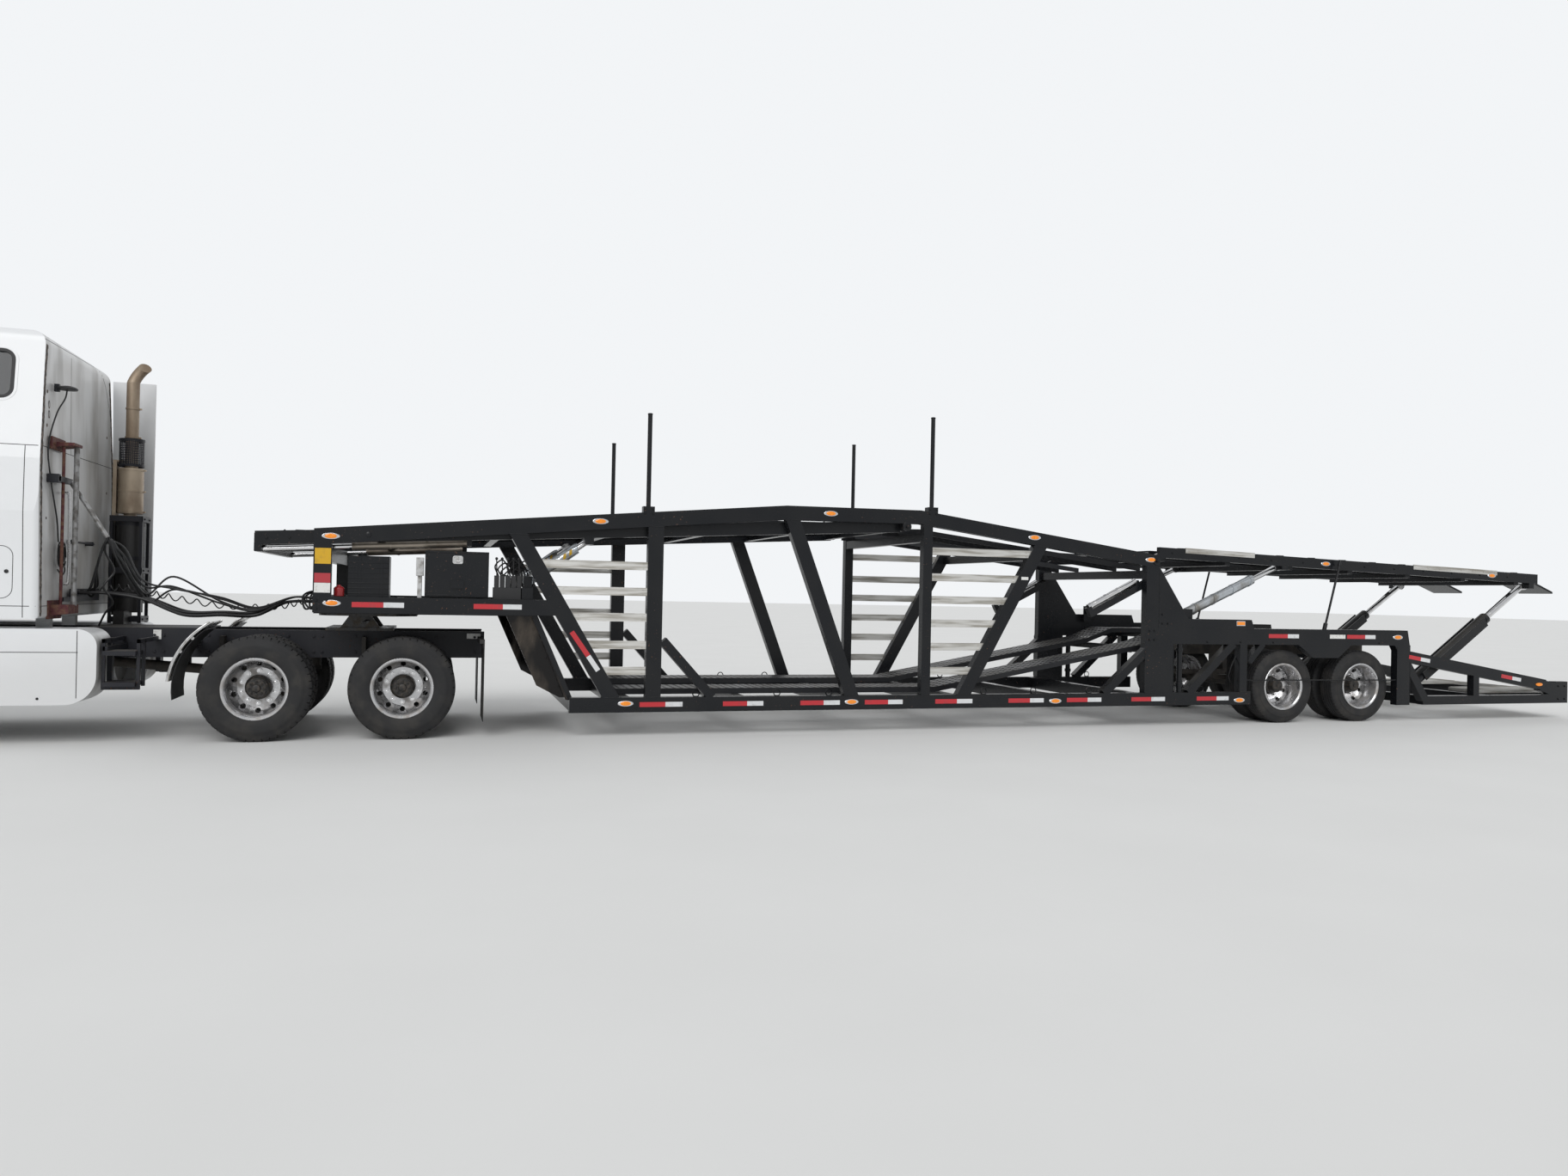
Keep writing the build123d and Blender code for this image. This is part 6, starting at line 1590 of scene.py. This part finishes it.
def collars_on(name, body, ends, radius, shares, finish, lug_r):
    """Rings round a cylinder's tube, and the pin heads at its foot."""
    form = Form()
    foot, head = (Vector((x, 0, z)) for x, z in ends)
    run = head - foot
    unit, proud = run.normalized(), radius + 0.010
    ring = ((-0.017, radius), (-0.015, proud), (0.015, proud), (0.017, radius))
    for side in (-1, 1):
        middle = Vector((0, side * arm_y, 0))
        for share in shares:
            form.turned(ring, foot + run * share + middle, unit, 24, closed=True)
        form.turned(((0.0, radius + 0.002), (0.035, radius + 0.002), (0.045, radius - 0.010)),
                    foot + run * shares[-1] + middle, unit, 24)
        for out in (-1, 1):
            form.turned(((0, lug_r * 0.62), (0.007, lug_r * 0.62), (0.009, lug_r * 0.5)),
                        foot + middle + Vector((0, out * 0.036, 0)), (0, out, 0), 20)
    form.piece(name, finish, body)


collars_on("front_lift_collars", "front_lift_tubes", front_ends, front_r, (0.22, 0.50, 0.76), silver, 0.052)
collars_on("rear_arm_collars", "rear_arm_tubes", rear_ends, rear_r, (0.08, 0.22, 0.42, 0.635), arm_black,
           0.062)
collars_on("mid_arm_collars", "mid_arm_tubes", middle_ends, middle_r, (0.10, 0.30, 0.50, 0.69), silver, 0.052)
bands = Form()
for side in (-1, 1):
    foot, head = (Vector((x, side * arm_y, z)) for x, z in front_ends)
    for share in (0.60, 0.70):
        band(bands, foot.lerp(head, share), head - foot, 0.0175, front_r + 0.0001, 0.0024, 24)
bands.piece("yellow_bands", yellow, "front_lift_tubes")

# The rear arms' black channels, with the toothed rack under their upper part
rack_tooth = ((-0.016, 0), (0.016, 0), (0.006, 0.020), (-0.006, 0.020))
foot, head = (Vector(end) for end in rear_ends)
run = (head - foot).normalized()
down = Vector((run.y, -run.x))
arms = Form()
for side in (-1, 1):
    for y in (arm_y - 0.092, arm_y + 0.080):
        arms.bar(foot.lerp(head, 0.07), foot.lerp(head, 0.62), 0.120, side * y, side * (y + 0.012))
    start, end = foot.lerp(head, 0.10), foot.lerp(head, 0.60)
    for k in range(26):
        place = start.lerp(end, k / 25) + down * 0.076
        arms.prism([place + run * a + down * b for a, b in rack_tooth],
                   side * (arm_y - 0.03), side * (arm_y + 0.03))
arms.piece("rear_arm_channels", arm_black, "rear_arm_tubes", 0.002)

dusty = Finish("Dusty cylinder steel", (0.30, 0.25, 0.20), 0.42, 0.55)
cake = dusty.step(dusty.noise(6, 6, (0.5, 1, 1)), 0.35, 0.7)
dusty.set(Base_Color=dusty.mix(cake, (0.40, 0.35, 0.29), (0.15, 0.12, 0.095)), Roughness=cake * 0.3 + 0.3)
nose_foot, nose_head, nose_r = (-1.300, 1.845), (0.615, 1.960), 0.028
slope_foot, slope_head, slope_rise = (7.790, 1.345), (8.600, 1.750), 0.082


def on_line(start, end, y, share):
    """A point on a line between two ends in X and Z, on the side at Y."""
    place = Vector(start).lerp(Vector(end), share)
    return Vector((place.x, y, place.y))


sleeves = Form()
for side in (-1, 1):
    sleeve = [on_line(nose_foot, nose_head, side * 1.090, share) for share in (0.005, 0.42, 0.985)]
    sleeves.tube(sleeve[1:], nose_r + 0.007, 20)
    for share in (0.42, 0.60, 0.78, 0.97):
        sleeves.tube([on_line(nose_foot, nose_head, side * 1.090, s) for s in (share, share + 0.012)],
                     nose_r + 0.012, 20)
    sleeves.paint = 1
    sleeves.tube(sleeve[:2], nose_r + 0.0008, 20)
    sleeves.paint = 0
sleeves.piece("nose_cylinder_sleeves", (dusty, bright), "front_deck")

# The sleeves of the cylinders on the sloped rail, with four rings each
foot, head = Vector(slope_foot), Vector(slope_head)
rise = Vector((foot.y - head.y, head.x - foot.x)).normalized() * slope_rise
low, high = foot.lerp(head, 0.03) + rise, foot.lerp(head, 0.84) + rise
slope_parts = Form()
for side in (-1, 1):
    for share in (0.04, 0.36, 0.62, 0.96):
        slope_parts.tube([on_line(low, high, side * 1.159, s) for s in (share, share + 0.03)], 0.038, 20)
    slope_parts.tube([on_line(low, high, side * 1.159, s) for s in (0, 1)], 0.0345, 20)
slope_parts.piece("slope_cylinders", bright, "trailer")


# Tail ramps: two drawn-out aluminium planks with serrated treads and a cross bar behind them.

wear(slat_metal, "tail_ramps")
tooth_pitch, tread_z = 0.03, 0.3749
teeth = Form()
for side in (-1, 1):
    for k in range(43):
        x = 14.215 + tooth_pitch * k
        teeth.prism(((x, tread_z), (x + 0.012, tread_z), (x + 0.006, 0.383)), side * 0.505, side * 0.975)
teeth.piece("ramp_treads", slat_metal, "tail_ramps")

# Plate, bar and box sections have slightly rounded edges
for name in ("side_frames", "cross_members", "tractor_frame", "toolbox", "toolbox_door", "front_deck",
             "rear_deck", "front_bumper", "tail_ramps", "fifth_wheel"):
    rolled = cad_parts[name].modifiers.new("Edges", "BEVEL")
    rolled.width, rolled.segments, rolled.limit_method = 0.004, 2, "ANGLE"
    rolled.angle_limit = math.radians(40)
